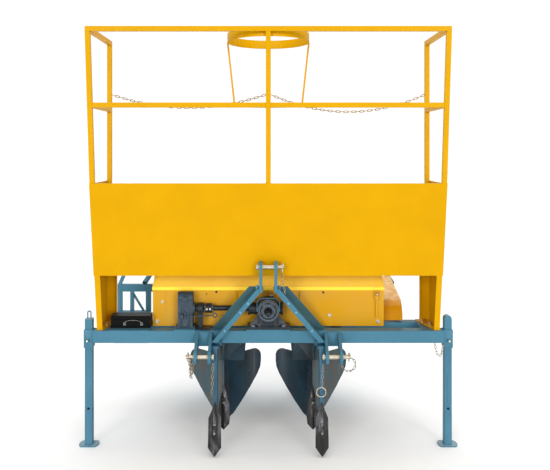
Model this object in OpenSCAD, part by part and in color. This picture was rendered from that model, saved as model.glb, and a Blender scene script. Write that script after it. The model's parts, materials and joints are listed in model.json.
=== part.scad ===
// Two-row sugarcane planter for a tractor's three-point hitch.
// Millimetres, +Z up, the hitch at -Y, the operators' seats at +Y.
// Inside the modules Y is counted from the front face of the front beam.

/* [Tool frame] */
// Side of the two cross beams, square box section
beam_side = 83; // [70:1:90]
// Height of the beams' underside above the ground
beam_z = 708; // [690:1:730]
// Gap between the front beam and the rear beam
beam_gap = 139; // [120:1:160]
// Gap between the cage and the stands' sleeves
stand_gap = 22; // [15:1:30]
// Side of the long rails that carry the seats and the press wheels
rail_side = 60; // [50:1:70]
// Half the distance between the two planted rows
row_x = 345; // [340:1:350]

/* [Parking stands] */
// Side of the stand's square leg
leg_side = 50; // [45:1:60]
// Wall of the stand's leg
leg_wall = 5; // [4:0.5:8]
// Wall of the stand's sleeve
sleeve_wall = 6; // [4:0.5:8]
// Play between leg and sleeve on each side
leg_play = 0.5; // [0.3:0.1:1]
// Height of the sleeve
sleeve_h = 123; // [110:1:150]
// Top of the stand's leg above the ground
leg_top = 867; // [850:1:900]
// Width of the foot plate
foot_d = 136; // [110:1:160]
// Depth of the foot plate between its two straight edges
foot_depth = 96; // [80:1:110]
// Thickness of the foot plate
foot_t = 8; // [6:1:12]
// How far the leg can be pulled up
stand_travel = 470; // [300:5:480]

/* [Cane cage] */
// Half the width over the cage
cage_half = 1178; // [1160:1:1190]
// Side of the cage's square tubes
tube = 32; // [25:1:36]
// Thickness of the cage's sheet
sheet = 3; // [2:0.5:5]
// Height of the hopper's floor above the ground
floor_z = 1178; // [1170:1:1200]
// Height of the front panel
panel_h = 628; // [590:1:650]
// Height of the railing above the front panel
railing_h = 1014; // [900:2:1050]
// Forward lean of the legs and the front panel
lean_low = 10.5; // [9:0.1:12]
// Forward lean of the posts above the panel
lean_high = 6.7; // [5:0.1:8]
// Height of the low wall at the back of the hopper
rear_wall_h = 340; // [250:5:420]
// Thickness of the folded legs
cage_leg_t = 5; // [3:0.5:8]
// How far the folded legs stand inside the cage's width
leg_inset = 5; // [3:1:8]
// Width of the folded legs' foot flange
foot_flange_w = 106; // [80:1:110]
// Width of the folded legs' front flange
flange_w = 38; // [30:1:50]

/* [Drum holder] */
// Outside diameter of the drum hoop
hoop_d = 562; // [540:1:580]
// Height of the drum hoop
hoop_h = 60; // [45:1:70]
// Thickness of the hoop's band
hoop_t = 5; // [3:0.5:8]
// Outside diameter of the ring that the drum stands on
ring_d = 470; // [420:1:500]

/* [Safety chains] */
// Wire of the chain links
link_wire = 5; // [4:0.5:6]
// Inside length of one link
link_pitch = 30; // [30:1:36]
// Inside width of one link
link_gap = 8; // [7:0.5:10]
// Sag of the left chain
left_sag = 97; // [80:1:160]
// Sag of the right chain
right_sag = 127; // [80:1:160]
// Distance from the top rail's top down to the chains' hooks
chain_drop = 390; // [360:5:410]

/* [Hitch] */
// Height of the lower hitch pins
lower_pin_z = 651; // [640:1:660]
// Distance of the hitch pins in front of the front beam
pin_reach = 120; // [110:1:130]
// Diameter of the lower hitch pins
lower_pin_d = 28; // [22:0.1:30]
// Middle of the clevis measured from the machine's centre
clevis_x = 437; // [430:1:440]
// Clear gap of the lower clevis
clevis_gap = 73; // [65:1:80]
// Thickness of the clevis plates
clevis_t = 20; // [16:1:24]
// Height of the top link's pin
top_pin_z = 1249; // [1230:1:1260]
// Diameter of the top link's pin
top_pin_d = 25.4; // [22:0.1:28]
// Clear gap between the mast's two plates
mast_gap = 80; // [74:1:90]
// Thickness of the mast's plates
mast_t = 20; // [16:1:24]

/* [Drive] */
// Height of the input shaft and the cross shaft
drive_z = 929; // [920:1:940]
// Outside diameter of the splined input shaft
pto_d = 34.8; // [34:0.1:36]
// Number of splines on the input shaft
splines = 6; // [6:1:8]
// Depth of the grooves between the splines
spline_depth = 3; // [2:0.5:3.5]
// Width of the grooves between the splines
spline_gap = 8; // [6:0.5:9]
// Diameter of the cross shaft
cross_d = 36; // [30:1:40]
// Radial play of the shafts in their bearings
shaft_play = 0.05; // [0.02:0.01:0.1]
// Left side of the drive case
drive_case_x = -624; // [-640:1:-610]
// Width of the drive case
drive_case_w = 103; // [90:1:110]

/* [Fertiliser box] */
// Distance from the side of the cage to the end of the box
box_inset = 368; // [360:1:390]
// Depth of the box
box_depth = 200; // [180:1:205]
// Height of the box's front wall
box_front_h = 271; // [250:1:280]
// Thickness of the box's sheet
box_t = 3; // [2:0.5:5]
// Rise of the sloping lid
lid_slope = 33; // [28:1:36]
// Distance of the lid's hinge behind the front wall
lid_depth = 135; // [120:1:140]

/* [Toolbox] */
// Length of the toolbox
toolbox_w = 272; // [240:1:280]
// Depth of the toolbox
toolbox_d = 100; // [80:1:120]
// Height of the toolbox
toolbox_h = 84; // [70:1:90]
// Thickness of the toolbox's sheet
toolbox_t = 2; // [1.5:0.5:3]

/* [Soil tools] */
// Height of the ripper tips above the ground
ripper_tip_z = 6; // [4:1:60]
// Thickness of the ripper shanks
shank_t = 26; // [20:1:30]
// Width of the ripper shares
share_w = 88; // [70:1:95]
// Width over one ridger's wings
ridger_w = 505; // [440:5:520]
// Radius on which a ridger's wings are swept back
wing_r = 300; // [290:1:310]
// Thickness of the ridgers' wings
wing_t = 6; // [4:0.5:8]
// Lean of the ridgers' wings to the back
wing_lean = 8; // [7:0.5:9]
// Height of the ridger's lowest point above the ground
ridger_tip_z = 117; // [90:1:150]

/* [Press wheels] */
// Diameter of the press wheels
wheel_d = 500; // [440:5:520]
// Width of the press wheels
wheel_w = 230; // [180:5:240]
// Thickness of the wheel's rim
rim_t = 8; // [5:1:10]
// Distance of the wheels' axle behind the front beam's face
wheel_y = 900; // [880:5:920]
// Diameter of the wheels' axle
axle_d = 30; // [25:1:35]

/* [Operators' places] */
// Top of the foot platform
deck_z = 605; // [600:5:620]
// Top of the seat cushions
seat_z = 1015; // [990:5:1030]
// Width of a seat
seat_w = 400; // [360:5:420]
// Depth of a seat
seat_d = 340; // [300:5:360]
// Distance from the rear beam to the seats' front edge
seat_reach = 480; // [470:5:500]

/* [Hidden] */
$fn = 48;
blue = "steelblue";
yellow = "gold";
dark = "dimgray";
black = "black";
zinc = "silver";

beam_top = beam_z + beam_side;
rear_beam_y = beam_side + beam_gap;
frame_rear_y = rear_beam_y + beam_side;
sleeve_side = leg_side + 2 * (leg_play + sleeve_wall);
half_width = cage_half + stand_gap + sleeve_side;
sleeve_x = half_width - sleeve_side / 2;
beam_half = sleeve_x - sleeve_side / 2;
stand_y = beam_side / 2;
sleeve_z = beam_top + 4 - sleeve_h;
stand_pin_z = sleeve_z + 52;

panel_top = floor_z + panel_h;
cage_top = panel_top + railing_h;
chain_z = cage_top - chain_drop;
cage_base_y = 16;
post_x = cage_half - sheet - tube;
rail_z = cage_top - tube;
mid_z = (panel_top + cage_top) / 2 - tube / 2 + 5;
// Front face of the cage at a height
function lean_y(z) = cage_base_y - tan(lean_low) * (min(z, panel_top) - beam_top)
    - tan(lean_high) * max(z - panel_top, 0);
hoop_y = lean_y(cage_top - hoop_h) + tube + hoop_d / 2;
rear_post_y = hoop_y + hoop_d / 2;
cage_rear_y = rear_post_y + tube;

hitch_y = -pin_reach;
clevis_plate_x = clevis_x - clevis_gap / 2 - clevis_t / 2;
clevis_outer_x = clevis_x + clevis_gap / 2 + clevis_t / 2;
mast_x = mast_gap / 2 + mast_t / 2;
lower_pin_free = 45;
top_pin_free = 35;
pin_collar = 6;
pin_neck = 4;
knee_z = 1105;

cross_y = 80;
gearbox_front_y = -20;
gearbox_r = 74;
journal_len = 26;
journal_y = gearbox_front_y - 4 - journal_len;
journal_mid = journal_y + journal_len / 2;
pto_seat_d = pto_d - 1;
plate_t = 8;
plate_z = beam_top;
case_top = 1043;

box_half = cage_half - box_inset;
box_y = 130;
box_z = beam_top;
box_front_top = box_z + box_front_h;
hinge_y = box_y + lid_depth;
hinge_z = box_front_top + tan(lid_slope) * lid_depth;
lid_half = box_half - 22;
hinge_d = 14;
hinge_pin_d = 10;
lid_gap = 0.3;
lug_w = 12;

toolbox_x = -(box_half + 6 + toolbox_w);
toolbox_y = 60;
toolbox_z = beam_top + 4;

wheel_x = row_x;
axle_z = wheel_d / 2;
arm_x = wheel_x + wheel_w / 2 + 14;
deck_t = 28;
deck_y = 510;
deck_rear_y = 800;
rail_x = row_x + 140;
seat_y = frame_rear_y + seat_reach;
seat_x = 480;
chute_y = 440;
chute_w = 120;
mouth_h = 70;
chute_top = 1050 - mouth_h;
chute_bottom = 150;

y_front = lean_y(rail_z);
y_rear = seat_y + seat_d + 10 + 34;
y_centre = (y_front + y_rear) / 2;

// Puts the machine's middle over the origin
module placed() translate([0, -y_centre, 0]) children();

// A block from one corner to the opposite one
module block(a, b) translate(a) cube([b.x - a.x, b.y - a.y, b.z - a.z]);

// Extrudes an outline of [y, z] points along X, from x0 over a width w
module along_x(x0, w) translate([x0, 0, 0]) rotate([90, 0, 90]) linear_extrude(w) children();

// Extrudes an outline of [x, z] points along Y, from y0 over a depth d
module along_y(y0, d) translate([0, y0 + d, 0]) rotate([90, 0, 0]) linear_extrude(d) children();

// Round bar along X, Y
module bar_x(x0, x1, y, z, d) translate([x0, y, z]) rotate([0, 90, 0]) cylinder(d = d, h = x1 - x0);
module bar_y(y0, y1, x, z, d) translate([x, y0, z]) rotate([-90, 0, 0]) cylinder(d = d, h = y1 - y0);

// Straight flat bar between two points, cut level at both ends
module strut(p, q, w, d) hull() {
    translate([p.x - w / 2, p.y - d / 2, p.z - 0.5]) cube([w, d, 1]);
    translate([q.x - w / 2, q.y - d / 2, q.z - 0.5]) cube([w, d, 1]);
}

// Left and right copies
module both_sides() {
    children();
    mirror([1, 0, 0]) children();
}

// Hollow square box section along X
module box_section(x0, x1, y, z, side, wall) difference() {
    block([x0, y, z], [x1, y + side, z + side]);
    block([x0 - 1, y + wall, z + wall], [x1 + 1, y + side - wall, z + side - wall]);
}

module front_beam() color(blue) placed()
    box_section(-beam_half, beam_half, 0, beam_z, beam_side, 8);

module rear_beam() color(blue) placed()
    box_section(-post_x, post_x, rear_beam_y, beam_z, beam_side, 8);

// Side members between the beams and the two long rails behind them
module frame_rails() color(blue) placed() both_sides() {
    block([post_x - beam_side, beam_side, beam_z], [post_x, rear_beam_y, beam_top]);
    for (y = [[beam_side, rear_beam_y], [frame_rear_y, seat_y + seat_d - 20]])
        block([rail_x - rail_side / 2, y[0], beam_z],
            [rail_x + rail_side / 2, y[1], beam_z + rail_side]);
}

module sleeve_at(x) translate([x, stand_y, 0]) {
    difference() {
        translate([-sleeve_side / 2, -sleeve_side / 2, sleeve_z])
            cube([sleeve_side, sleeve_side, sleeve_h]);
        translate([-leg_side / 2 - leg_play, -leg_side / 2 - leg_play, sleeve_z - 1])
            cube([leg_side + 2 * leg_play, leg_side + 2 * leg_play, sleeve_h + 2]);
    }
    translate([0, -sleeve_side / 2 - 14, stand_pin_z]) rotate([-90, 0, 0]) cylinder(d = 22, h = 14);
}

module stand_sleeves() color(blue) placed() both_sides() sleeve_at(sleeve_x);

module stand_leg(x) color(blue) placed() translate([x, stand_y, 0]) {
    linear_extrude(foot_t) intersection() {
        circle(d = foot_d);
        square([foot_d, foot_depth], center = true);
    }
    difference() {
        translate([-leg_side / 2, -leg_side / 2, foot_t])
            cube([leg_side, leg_side, leg_top - foot_t]);
        translate([-leg_side / 2 + leg_wall, -leg_side / 2 + leg_wall, foot_t - 1])
            cube([leg_side - 2 * leg_wall, leg_side - 2 * leg_wall, leg_top - foot_t - 4]);
        for (z = [stand_pin_z - stand_travel, stand_pin_z])
            translate([0, -leg_side, z]) rotate([-90, 0, 0]) cylinder(d = 18, h = 2 * leg_side);
    }
    children();
}

handle_r = 11;

// Bent rod on top of the left leg, to pull it up by
module handle_loop() {
    for (side = [-1, 1]) translate([side * handle_r, 0, leg_top - 1]) cylinder(d = 8, h = 40);
    translate([0, 0, leg_top + 38.9]) rotate([90, 0, 0]) rotate_extrude(angle = 180)
        translate([handle_r, 0]) circle(d = 9);
}

// Round cap on the right leg
module leg_cap() intersection() {
    translate([0, 0, leg_top]) rotate([90, 0, 0])
        cylinder(d = leg_side - 1, h = leg_side - 1, center = true);
    translate([-leg_side, -leg_side, leg_top - 1]) cube(2 * leg_side);
}

module stand_leg_left() stand_leg(-sleeve_x) handle_loop();
module stand_leg_right() stand_leg(sleeve_x) leg_cap();

// Outline of a lower clevis plate, [y, z]
module clevis_outline() difference() {
    union() {
        polygon([[0, beam_top - 6], [-30, beam_top - 10], [-150, 672], [-150, 630], [-100, 612], [0, 690]]);
        translate([hitch_y, lower_pin_z]) circle(r = 46);
    }
    translate([hitch_y, lower_pin_z]) circle(d = lower_pin_d + 2.6);
}

module hitch_brackets() color(blue) placed() both_sides() {
    for (x = [clevis_plate_x, clevis_outer_x])
        along_x(x - clevis_t / 2, clevis_t) clevis_outline();
    block([clevis_plate_x + clevis_t / 2, -10, 690],
        [clevis_outer_x - clevis_t / 2, 0, beam_top - 6]);
}

// Stepped pin along X: a head, a body, a relief neck and a free end; x0 to x1 is the body
module hitch_pin(x0, x1, z, d, free) translate([0, hitch_y, z]) {
    bar_x(x0 - 20, x1 + pin_collar, 0, 0, d + 2);
    bar_x(x0 - 20, x0 - 8, 0, 0, d + 14);
    bar_x(x1 + 0.3, x1 + pin_collar, 0, 0, d + 12);
    bar_x(x1 + pin_collar, x1 + pin_collar + pin_neck, 0, 0, d - 3);
    bar_x(x1 + pin_collar + pin_neck, x1 + pin_collar + pin_neck + free, 0, 0, d);
}

module lower_hitch_pins() color(zinc) placed() both_sides()
    hitch_pin(clevis_plate_x - clevis_t / 2, clevis_outer_x + clevis_t / 2, lower_pin_z,
        lower_pin_d, lower_pin_free);

module mast() color(blue) placed() both_sides() {
    along_x(mast_x - mast_t / 2, mast_t) difference() {
        union() {
            translate([hitch_y, top_pin_z]) circle(r = 40);
            translate([hitch_y - 40, knee_z - 20]) square([80, top_pin_z - knee_z + 20]);
        }
        translate([hitch_y, top_pin_z]) circle(d = top_pin_d + 2.6);
        translate([hitch_y, knee_z + 40]) circle(d = 22);
    }
    bar_x(mast_gap / 2 - 4, mast_x + mast_t / 2 + 12, hitch_y + 20, knee_z + 6, 18);
    strut([mast_x + 4, hitch_y, knee_z], [clevis_plate_x - clevis_t / 2 - 20, -40, beam_z + 24], 40, 60);
}

module mast_stays() color(dark) placed() both_sides()
    strut([mast_x + mast_t / 2 + 30, hitch_y + 46, knee_z + 5], [row_x + 5, 62, beam_top + 0.5], 80, 10);

module top_link_pin() color(zinc) placed()
    hitch_pin(-mast_x - mast_t / 2, mast_x + mast_t / 2, top_pin_z, top_pin_d, top_pin_free);

module mount_plates() color(blue) placed() {
    for (x = [[-150, 150], [drive_case_x - 20, drive_case_x + drive_case_w + 20]])
        block([x[0], 0, plate_z], [x[1], box_y - 1, plate_z + plate_t]);
    block([toolbox_x - 2, 0, plate_z],
        [toolbox_x + toolbox_w - 2, toolbox_y + toolbox_d + 8, toolbox_z]);
}

// Bolt heads on a circle of radius r round [x, z], on a face at y
module bolt_circle_y(y, x, z, r, count, d, h) for (i = [0:count - 1])
    translate([x, y, z]) rotate([0, (i + 0.5) * 360 / count, 0]) translate([r, 0, 0])
        rotate([90, 0, 0]) cylinder(d = d, h = h);

module gearbox() color(dark) placed() difference() {
    union() {
        bar_y(gearbox_front_y + 20, cross_y + 45, 0, drive_z, 2 * gearbox_r);
        bar_y(gearbox_front_y + 8, gearbox_front_y + 20, 0, drive_z, 130);
        bar_y(gearbox_front_y, gearbox_front_y + 8, 0, drive_z, 84);
        bolt_circle_y(gearbox_front_y + 8, 0, drive_z, 53, 6, 15, 7);
        bar_y(cross_y + 45, cross_y + 49.5, 0, drive_z, 110);
        bar_x(-140, 100, cross_y, drive_z, 2 * (box_y - cross_y) - 20);
        for (x = [-140, 88]) bar_x(x, x + 12, cross_y, drive_z, 2 * (box_y - cross_y) - 4);
        block([-70, 10, plate_z + plate_t], [70, cross_y + 40, drive_z]);
        for (x = [-52, 44]) along_x(x, 8) polygon([
            [2, plate_z + plate_t + 18], [14, plate_z + plate_t + 18], [14, drive_z - 40]
        ]);
        both_sides() along_y(40, 10) polygon([
            [66, plate_z + plate_t + 18], [132, plate_z + plate_t + 18], [66, drive_z - 30]
        ]);
        block([-145, 0, plate_z + plate_t], [145, cross_y + 45, plate_z + plate_t + 18]);
        translate([22, cross_y + 10, drive_z + 60]) cylinder(d = 26, h = 24);
    }
    bar_y(gearbox_front_y - 1, 30, 0, drive_z, pto_seat_d + 2 * shaft_play);
    bar_x(-141, -60, cross_y, drive_z, cross_d + 2 * shaft_play);
}

// Bent strap over the gearbox, [x, z]
module gearbox_strap() color(blue) placed() along_y(2, 28) difference() {
    polygon([[-gearbox_r - 6, drive_z - 8], [-gearbox_r - 6, 990], [-50, 1014], [50, 1014],
        [gearbox_r + 6, 990], [gearbox_r + 6, drive_z - 8]]);
    polygon([[-gearbox_r, drive_z - 9], [-gearbox_r, 987], [-48, 1008], [48, 1008],
        [gearbox_r, 987], [gearbox_r, drive_z - 9]]);
}

module pto_shaft() color(zinc) placed() translate([0, 0, drive_z]) {
    difference() {
        bar_y(-118, journal_y - 4, 0, 0, pto_d - 0.4);
        for (i = [0:splines - 1]) rotate([0, i * 360 / splines, 0])
            block([-spline_gap / 2, -119, pto_d / 2 - spline_depth], [spline_gap / 2, journal_y, pto_d]);
    }
    bar_y(journal_y - 4, journal_y, 0, 0, pto_d - 6);
    bar_y(journal_y, journal_y + journal_len, 0, 0, pto_d);
    bar_y(journal_y + journal_len, 28, 0, 0, pto_seat_d);
}

module cross_shaft() color(dark) placed() {
    bar_x(drive_case_x + drive_case_w - 30, -62, cross_y, drive_z, cross_d);
    bar_x(-436, -388, cross_y, drive_z, 66);
}

module shaft_bearing() color(dark) placed() difference() {
    union() {
        bar_x(-486, -450, cross_y, drive_z, 76);
        block([-482, cross_y - 30, plate_z + plate_t], [-454, cross_y + 30, drive_z]);
        block([-498, cross_y - 60, plate_z], [-400, cross_y + 40, plate_z + plate_t]);
    }
    bar_x(-499, -399, cross_y, drive_z, cross_d + 2 * shaft_play);
}

// Side view of the drive case's rounded top, [y, z]
module case_outline() {
    radius = (box_y - 45) / 2;
    translate([40 + radius, case_top - radius]) circle(r = radius);
    translate([40, plate_z + plate_t]) square([2 * radius, case_top - radius - plate_z - plate_t]);
}

module drive_case() color(dark) placed() difference() {
    union() {
        along_x(drive_case_x, drive_case_w) case_outline();
        block([drive_case_x - 14, 34, plate_z + plate_t],
            [drive_case_x + drive_case_w + 14, box_y - 3, plate_z + plate_t + 14]);
        for (x = [drive_case_x + 22, drive_case_x + drive_case_w - 28]) along_x(x, 6) polygon([
            [26, plate_z + plate_t + 14], [42, plate_z + plate_t + 14], [42, case_top - 60]
        ]);
        bar_x(drive_case_x + drive_case_w, drive_case_x + drive_case_w + 14, cross_y, drive_z, 84);
        bar_y(28, 41, drive_case_x + drive_case_w / 2, case_top - 46, 40);
    }
    bar_x(drive_case_x + drive_case_w - 31, drive_case_x + drive_case_w + 15, cross_y, drive_z,
        cross_d + 2 * shaft_play);
}

// Outline of a folded cage leg's web, [y, z]
module leg_outline() polygon([
    [lean_y(beam_top), beam_top], [frame_rear_y - 4, beam_top],
    [frame_rear_y - 4, floor_z], [lean_y(floor_z), floor_z]
]);

rear_flange_w = 76;

module cage_legs() color(yellow) placed() both_sides() {
    x = cage_half - leg_inset;
    along_x(x - cage_leg_t, cage_leg_t) leg_outline();
    along_x(x - flange_w, flange_w) polygon([
        [lean_y(beam_top), beam_top], [lean_y(beam_top) + cage_leg_t, beam_top],
        [lean_y(floor_z) + cage_leg_t, floor_z], [lean_y(floor_z), floor_z]
    ]);
    block([x - rear_flange_w, frame_rear_y - 9, beam_top], [x, frame_rear_y - 4, floor_z]);
    along_x(x - rear_flange_w, 5) polygon([
        [frame_rear_y - 30, beam_top + 40], [frame_rear_y - 8, beam_top + 40],
        [frame_rear_y - 8, floor_z - 4], [frame_rear_y - 30, floor_z - 4]
    ]);
    foot_flange(x);
    for (p = [[38, frame_rear_y - 169], [73, frame_rear_y - 90]])
        translate([x - p.x, p.y, beam_top + cage_leg_t]) cylinder(d = 24, h = 10);
}

// Foot flange of a cage leg, wider at the back
module foot_flange(x) translate([0, 0, beam_top]) linear_extrude(cage_leg_t) polygon([
    [x, lean_y(beam_top) + 2], [x - flange_w, lean_y(beam_top) + 2],
    [x - foot_flange_w, frame_rear_y - 40], [x - foot_flange_w, frame_rear_y - 4], [x, frame_rear_y - 4]
]);

module hopper_front() color(yellow) placed() along_x(-cage_half, 2 * cage_half) polygon([
    [lean_y(floor_z), floor_z], [lean_y(floor_z) + sheet, floor_z],
    [lean_y(panel_top) + sheet, panel_top - sheet], [lean_y(panel_top) + tube, panel_top - sheet],
    [lean_y(panel_top) + tube, panel_top], [lean_y(panel_top), panel_top]
]);

module hopper_sides() color(yellow) placed() both_sides()
    along_x(cage_half - sheet, sheet) polygon([
        [lean_y(floor_z) + sheet, floor_z], [cage_rear_y, floor_z],
        [cage_rear_y, panel_top - sheet], [lean_y(panel_top) + sheet, panel_top - sheet]
    ]);

module hopper_floor() color(yellow) placed()
    block([-cage_half + sheet, lean_y(floor_z) + sheet + 0.2, floor_z],
        [cage_half - sheet, cage_rear_y, floor_z + sheet]);

module hopper_rear() color(yellow) placed()
    block([-post_x, cage_rear_y - sheet, floor_z + sheet],
        [post_x, cage_rear_y, floor_z + sheet + rear_wall_h]);

module cage_front_posts() color(yellow) placed()
    for (x = [-post_x - tube, -tube / 2, post_x])
        along_x(x, tube) polygon([
            [lean_y(panel_top), panel_top], [lean_y(panel_top) + tube, panel_top],
            [lean_y(rail_z) + tube, rail_z], [lean_y(rail_z), rail_z]
        ]);

module cage_rear_posts() color(yellow) placed()
    for (x = [-post_x - tube, -tube / 2, post_x])
        block([x, rear_post_y, floor_z + sheet],
            [x + tube, cage_rear_y - (abs(x) < tube ? sheet : 0), cage_top]);

module cage_front_rails() color(yellow) placed() {
    block([-cage_half + sheet, lean_y(rail_z), rail_z], [cage_half - sheet, lean_y(rail_z) + tube, cage_top]);
    for (x = [-post_x, tube / 2])
        along_x(x, post_x - tube / 2) translate([lean_y(mid_z), mid_z]) square(tube);
}

module cage_side_rails() color(yellow) placed() both_sides() {
    block([post_x, lean_y(rail_z) + tube, rail_z], [post_x + tube, rear_post_y, cage_top]);
    block([post_x, lean_y(mid_z) + tube + 2, mid_z], [post_x + tube, rear_post_y, mid_z + tube]);
}

// Flat ring standing on z
module ring(d, t, h) difference() {
    cylinder(d = d, h = h, $fn = 96);
    translate([0, 0, -1]) cylinder(d = d - 2 * t, h = h + 2, $fn = 96);
}

ring_y = lean_y(mid_z) + tube + ring_d / 2;

module drum_hoop() color(yellow) placed()
    translate([0, hoop_y, cage_top - hoop_h]) ring(hoop_d, hoop_t, hoop_h);

ring_t = 6;
ring_z = mid_z + tube - ring_t;

module drum_ring() color(yellow) placed() translate([0, ring_y, ring_z]) ring(ring_d, 30, ring_t);

module drum_rods() color(yellow) placed() both_sides()
    strut([ring_d / 2 - 3, ring_y, mid_z + tube + 0.5],
        [hoop_d / 2 - 3, hoop_y, cage_top - hoop_h - 0.5], 12, 12);

// Link outline, a long ring with four points round each end, [along, across]
function stadium(half_l, r) = concat(
    [for (a = [-90, -30, 30, 90]) [half_l + r * cos(a), r * sin(a)]],
    [for (a = [90, 150, 210, 270]) [-half_l + r * cos(a), r * sin(a)]]
);

module link() translate([0, 0, -link_wire / 2]) linear_extrude(link_wire) difference() {
    polygon(stadium(link_pitch / 2 - link_gap / 2, link_gap / 2 + link_wire));
    polygon(stadium(link_pitch / 2 - link_gap / 2, link_gap / 2));
}

// Chain between two posts, links turned a quarter turn from one to the next
module chain(x0, x1, chain_sag) {
    span = x1 - x0;
    length = span * (1 + 8 / 3 * pow(chain_sag / span, 2));
    step = link_pitch - link_gap * (1 - cos(30)) - 0.3;
    links = floor(length / step);
    function sag(t) = -4 * chain_sag * t * (1 - t);
    for (i = [0:links - 1]) {
        t = (i + 0.5) / links;
        slope = atan(4 * chain_sag * (2 * t - 1) / span);
        translate([x0 + t * span, rear_post_y + tube / 2, chain_z + sag(t)])
            rotate([0, -slope, 0]) rotate([i % 2 * 90, 0, 0]) link();
    }
}

hook_reach = link_wire - 0.3;

module safety_chains() color(yellow) placed() {
    chain(-post_x + hook_reach, -tube / 2 - hook_reach, left_sag);
    chain(tube / 2 + hook_reach, post_x - hook_reach, right_sag);
}

// Lugs that carry the lid's hinge rod
lug_places = [-lid_half + lug_w / 2, 0, lid_half - lug_w / 2];
hinge_rod_z = hinge_z + 10;

module fertiliser_box() color(yellow) placed() {
    box_shell();
    bar_x(-lid_half, lid_half, hinge_y, hinge_rod_z, hinge_pin_d);
    for (x = lug_places)
        block([x - lug_w / 2, hinge_y - 4, hinge_z - box_t],
            [x + lug_w / 2, hinge_y + hinge_d + 1, hinge_rod_z]);
}

module box_shell() difference() {
    along_x(-box_half, 2 * box_half) polygon([
        [box_y, box_z], [box_y + box_depth, box_z], [box_y + box_depth, hinge_z],
        [hinge_y + hinge_d, hinge_z], [box_y, box_front_top]
    ]);
    along_x(-box_half + box_t, 2 * (box_half - box_t)) polygon([
        [box_y + box_t, box_front_top + 200], [box_y + box_t, box_z + box_t],
        [box_y + box_depth - box_t, box_z + box_t], [box_y + box_depth - box_t, hinge_z - box_t],
        [hinge_y + hinge_d, hinge_z - box_t], [hinge_y + hinge_d, hinge_z + 200]
    ]);
}

module fertiliser_lid() color(yellow) placed() {
    along_x(-box_half - 3, 2 * box_half + 6) polygon([
        [box_y - 4, box_front_top - 20], [box_y - 4, box_front_top + 3],
        [hinge_y - 12, hinge_z - 2], [hinge_y - 12, hinge_z - 5],
        [box_y - 1, box_front_top + lid_gap], [box_y - 1, box_front_top - 20]
    ]);
    for (side = [-1, 0]) difference() {
        translate([side * (lid_half - lug_w / 2) + lug_w / 2 + 1, 0, 0])
            along_x(0, lid_half - 1.5 * lug_w - 2) union() {
                translate([hinge_y, hinge_rod_z]) circle(r = 8);
                polygon([[hinge_y - 14, hinge_z - 6], [hinge_y - 14, hinge_z - 2],
                    [hinge_y - 6, hinge_rod_z + 4], [hinge_y, hinge_rod_z - 4]]);
            }
        bar_x(-lid_half, lid_half, hinge_y, hinge_rod_z, hinge_pin_d + 2 * shaft_play);
    }
}

latch_x = box_half - 51;
gusset_z = box_z + 89;

module box_latch() color(zinc) placed() {
    block([latch_x - 9, box_y - 9, box_z + 60], [latch_x + 9, box_y, box_front_top - 50]);
    block([latch_x - 17, box_y - 5, box_front_top - 60], [latch_x + 17, box_y, box_front_top - 21]);
    bar_y(box_y - 14, box_y - 9, latch_x, box_front_top - 70, 24);
}

module hopper_gussets() color(yellow) placed() both_sides()
    block([box_half, hinge_y + 20, gusset_z], [box_half + 4, box_y + box_depth, floor_z]);

// Side view of the drive guard, [y, z]
guard_y = box_y + 100;
guard_z = beam_top + 14;
guard_w = 148;
module guard_outline() polygon([
    [guard_y, guard_z], [guard_y + 2, guard_z + 40], [guard_y + 14, guard_z + 74],
    [guard_y + 34, guard_z + 106], [guard_y + 64, guard_z + 132], [guard_y + 490, guard_z + 223],
    [guard_y + 490, guard_z + 120], [guard_y + 190, guard_z]
]);

module drive_guard() color(yellow) placed() difference() {
    along_x(box_half + 4, guard_w) guard_outline();
    along_x(box_half + 4 + sheet, guard_w - 2 * sheet) translate([sheet + 0.5, -sheet - 0.5])
        guard_outline();
    translate([box_half + 4 + guard_w * 0.42, guard_y + 290, guard_z + 60]) cylinder(d = 16, h = 200);
}

// Axis of the toolbox lid's hinge
box_hinge_y = toolbox_y + toolbox_d + 6;
box_hinge_z = toolbox_z + toolbox_h - 21.75;
barrel_d = 9;

module toolbox() color(black) placed() {
    toolbox_body();
    bar_x(toolbox_x + 20, toolbox_x + toolbox_w - 20, box_hinge_y, box_hinge_z, 4);
    for (x = [toolbox_x + 20, toolbox_x + toolbox_w - 60]) {
        bar_x(x, x + 40, box_hinge_y, box_hinge_z, barrel_d);
        block([x, toolbox_y + toolbox_d - 1, box_hinge_z - barrel_d / 2],
            [x + 40, box_hinge_y, box_hinge_z - 1]);
    }
}

module toolbox_body() difference() {
    block([toolbox_x, toolbox_y, toolbox_z],
        [toolbox_x + toolbox_w, toolbox_y + toolbox_d, toolbox_z + toolbox_h - 22]);
    block([toolbox_x + toolbox_t, toolbox_y + toolbox_t, toolbox_z + toolbox_t],
        [toolbox_x + toolbox_w - toolbox_t, toolbox_y + toolbox_d - toolbox_t, toolbox_z + toolbox_h]);
}

module toolbox_lid() color(black) placed() {
    difference() {
        block([toolbox_x, toolbox_y, toolbox_z + toolbox_h - 21.7],
            [toolbox_x + toolbox_w, toolbox_y + toolbox_d, toolbox_z + toolbox_h]);
        block([toolbox_x + toolbox_t, toolbox_y + toolbox_t, toolbox_z],
            [toolbox_x + toolbox_w - toolbox_t, toolbox_y + toolbox_d - toolbox_t,
                toolbox_z + toolbox_h - toolbox_t]);
    }
    difference() {
        union() {
            bar_x(toolbox_x + 61, toolbox_x + toolbox_w - 61, box_hinge_y, box_hinge_z, barrel_d);
            block([toolbox_x + 61, toolbox_y + toolbox_d - 1, box_hinge_z + 1],
                [toolbox_x + toolbox_w - 61, box_hinge_y, box_hinge_z + barrel_d / 2]);
        }
        bar_x(toolbox_x, toolbox_x + toolbox_w, box_hinge_y, box_hinge_z, 4 + 2 * shaft_play);
    }
}

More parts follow.
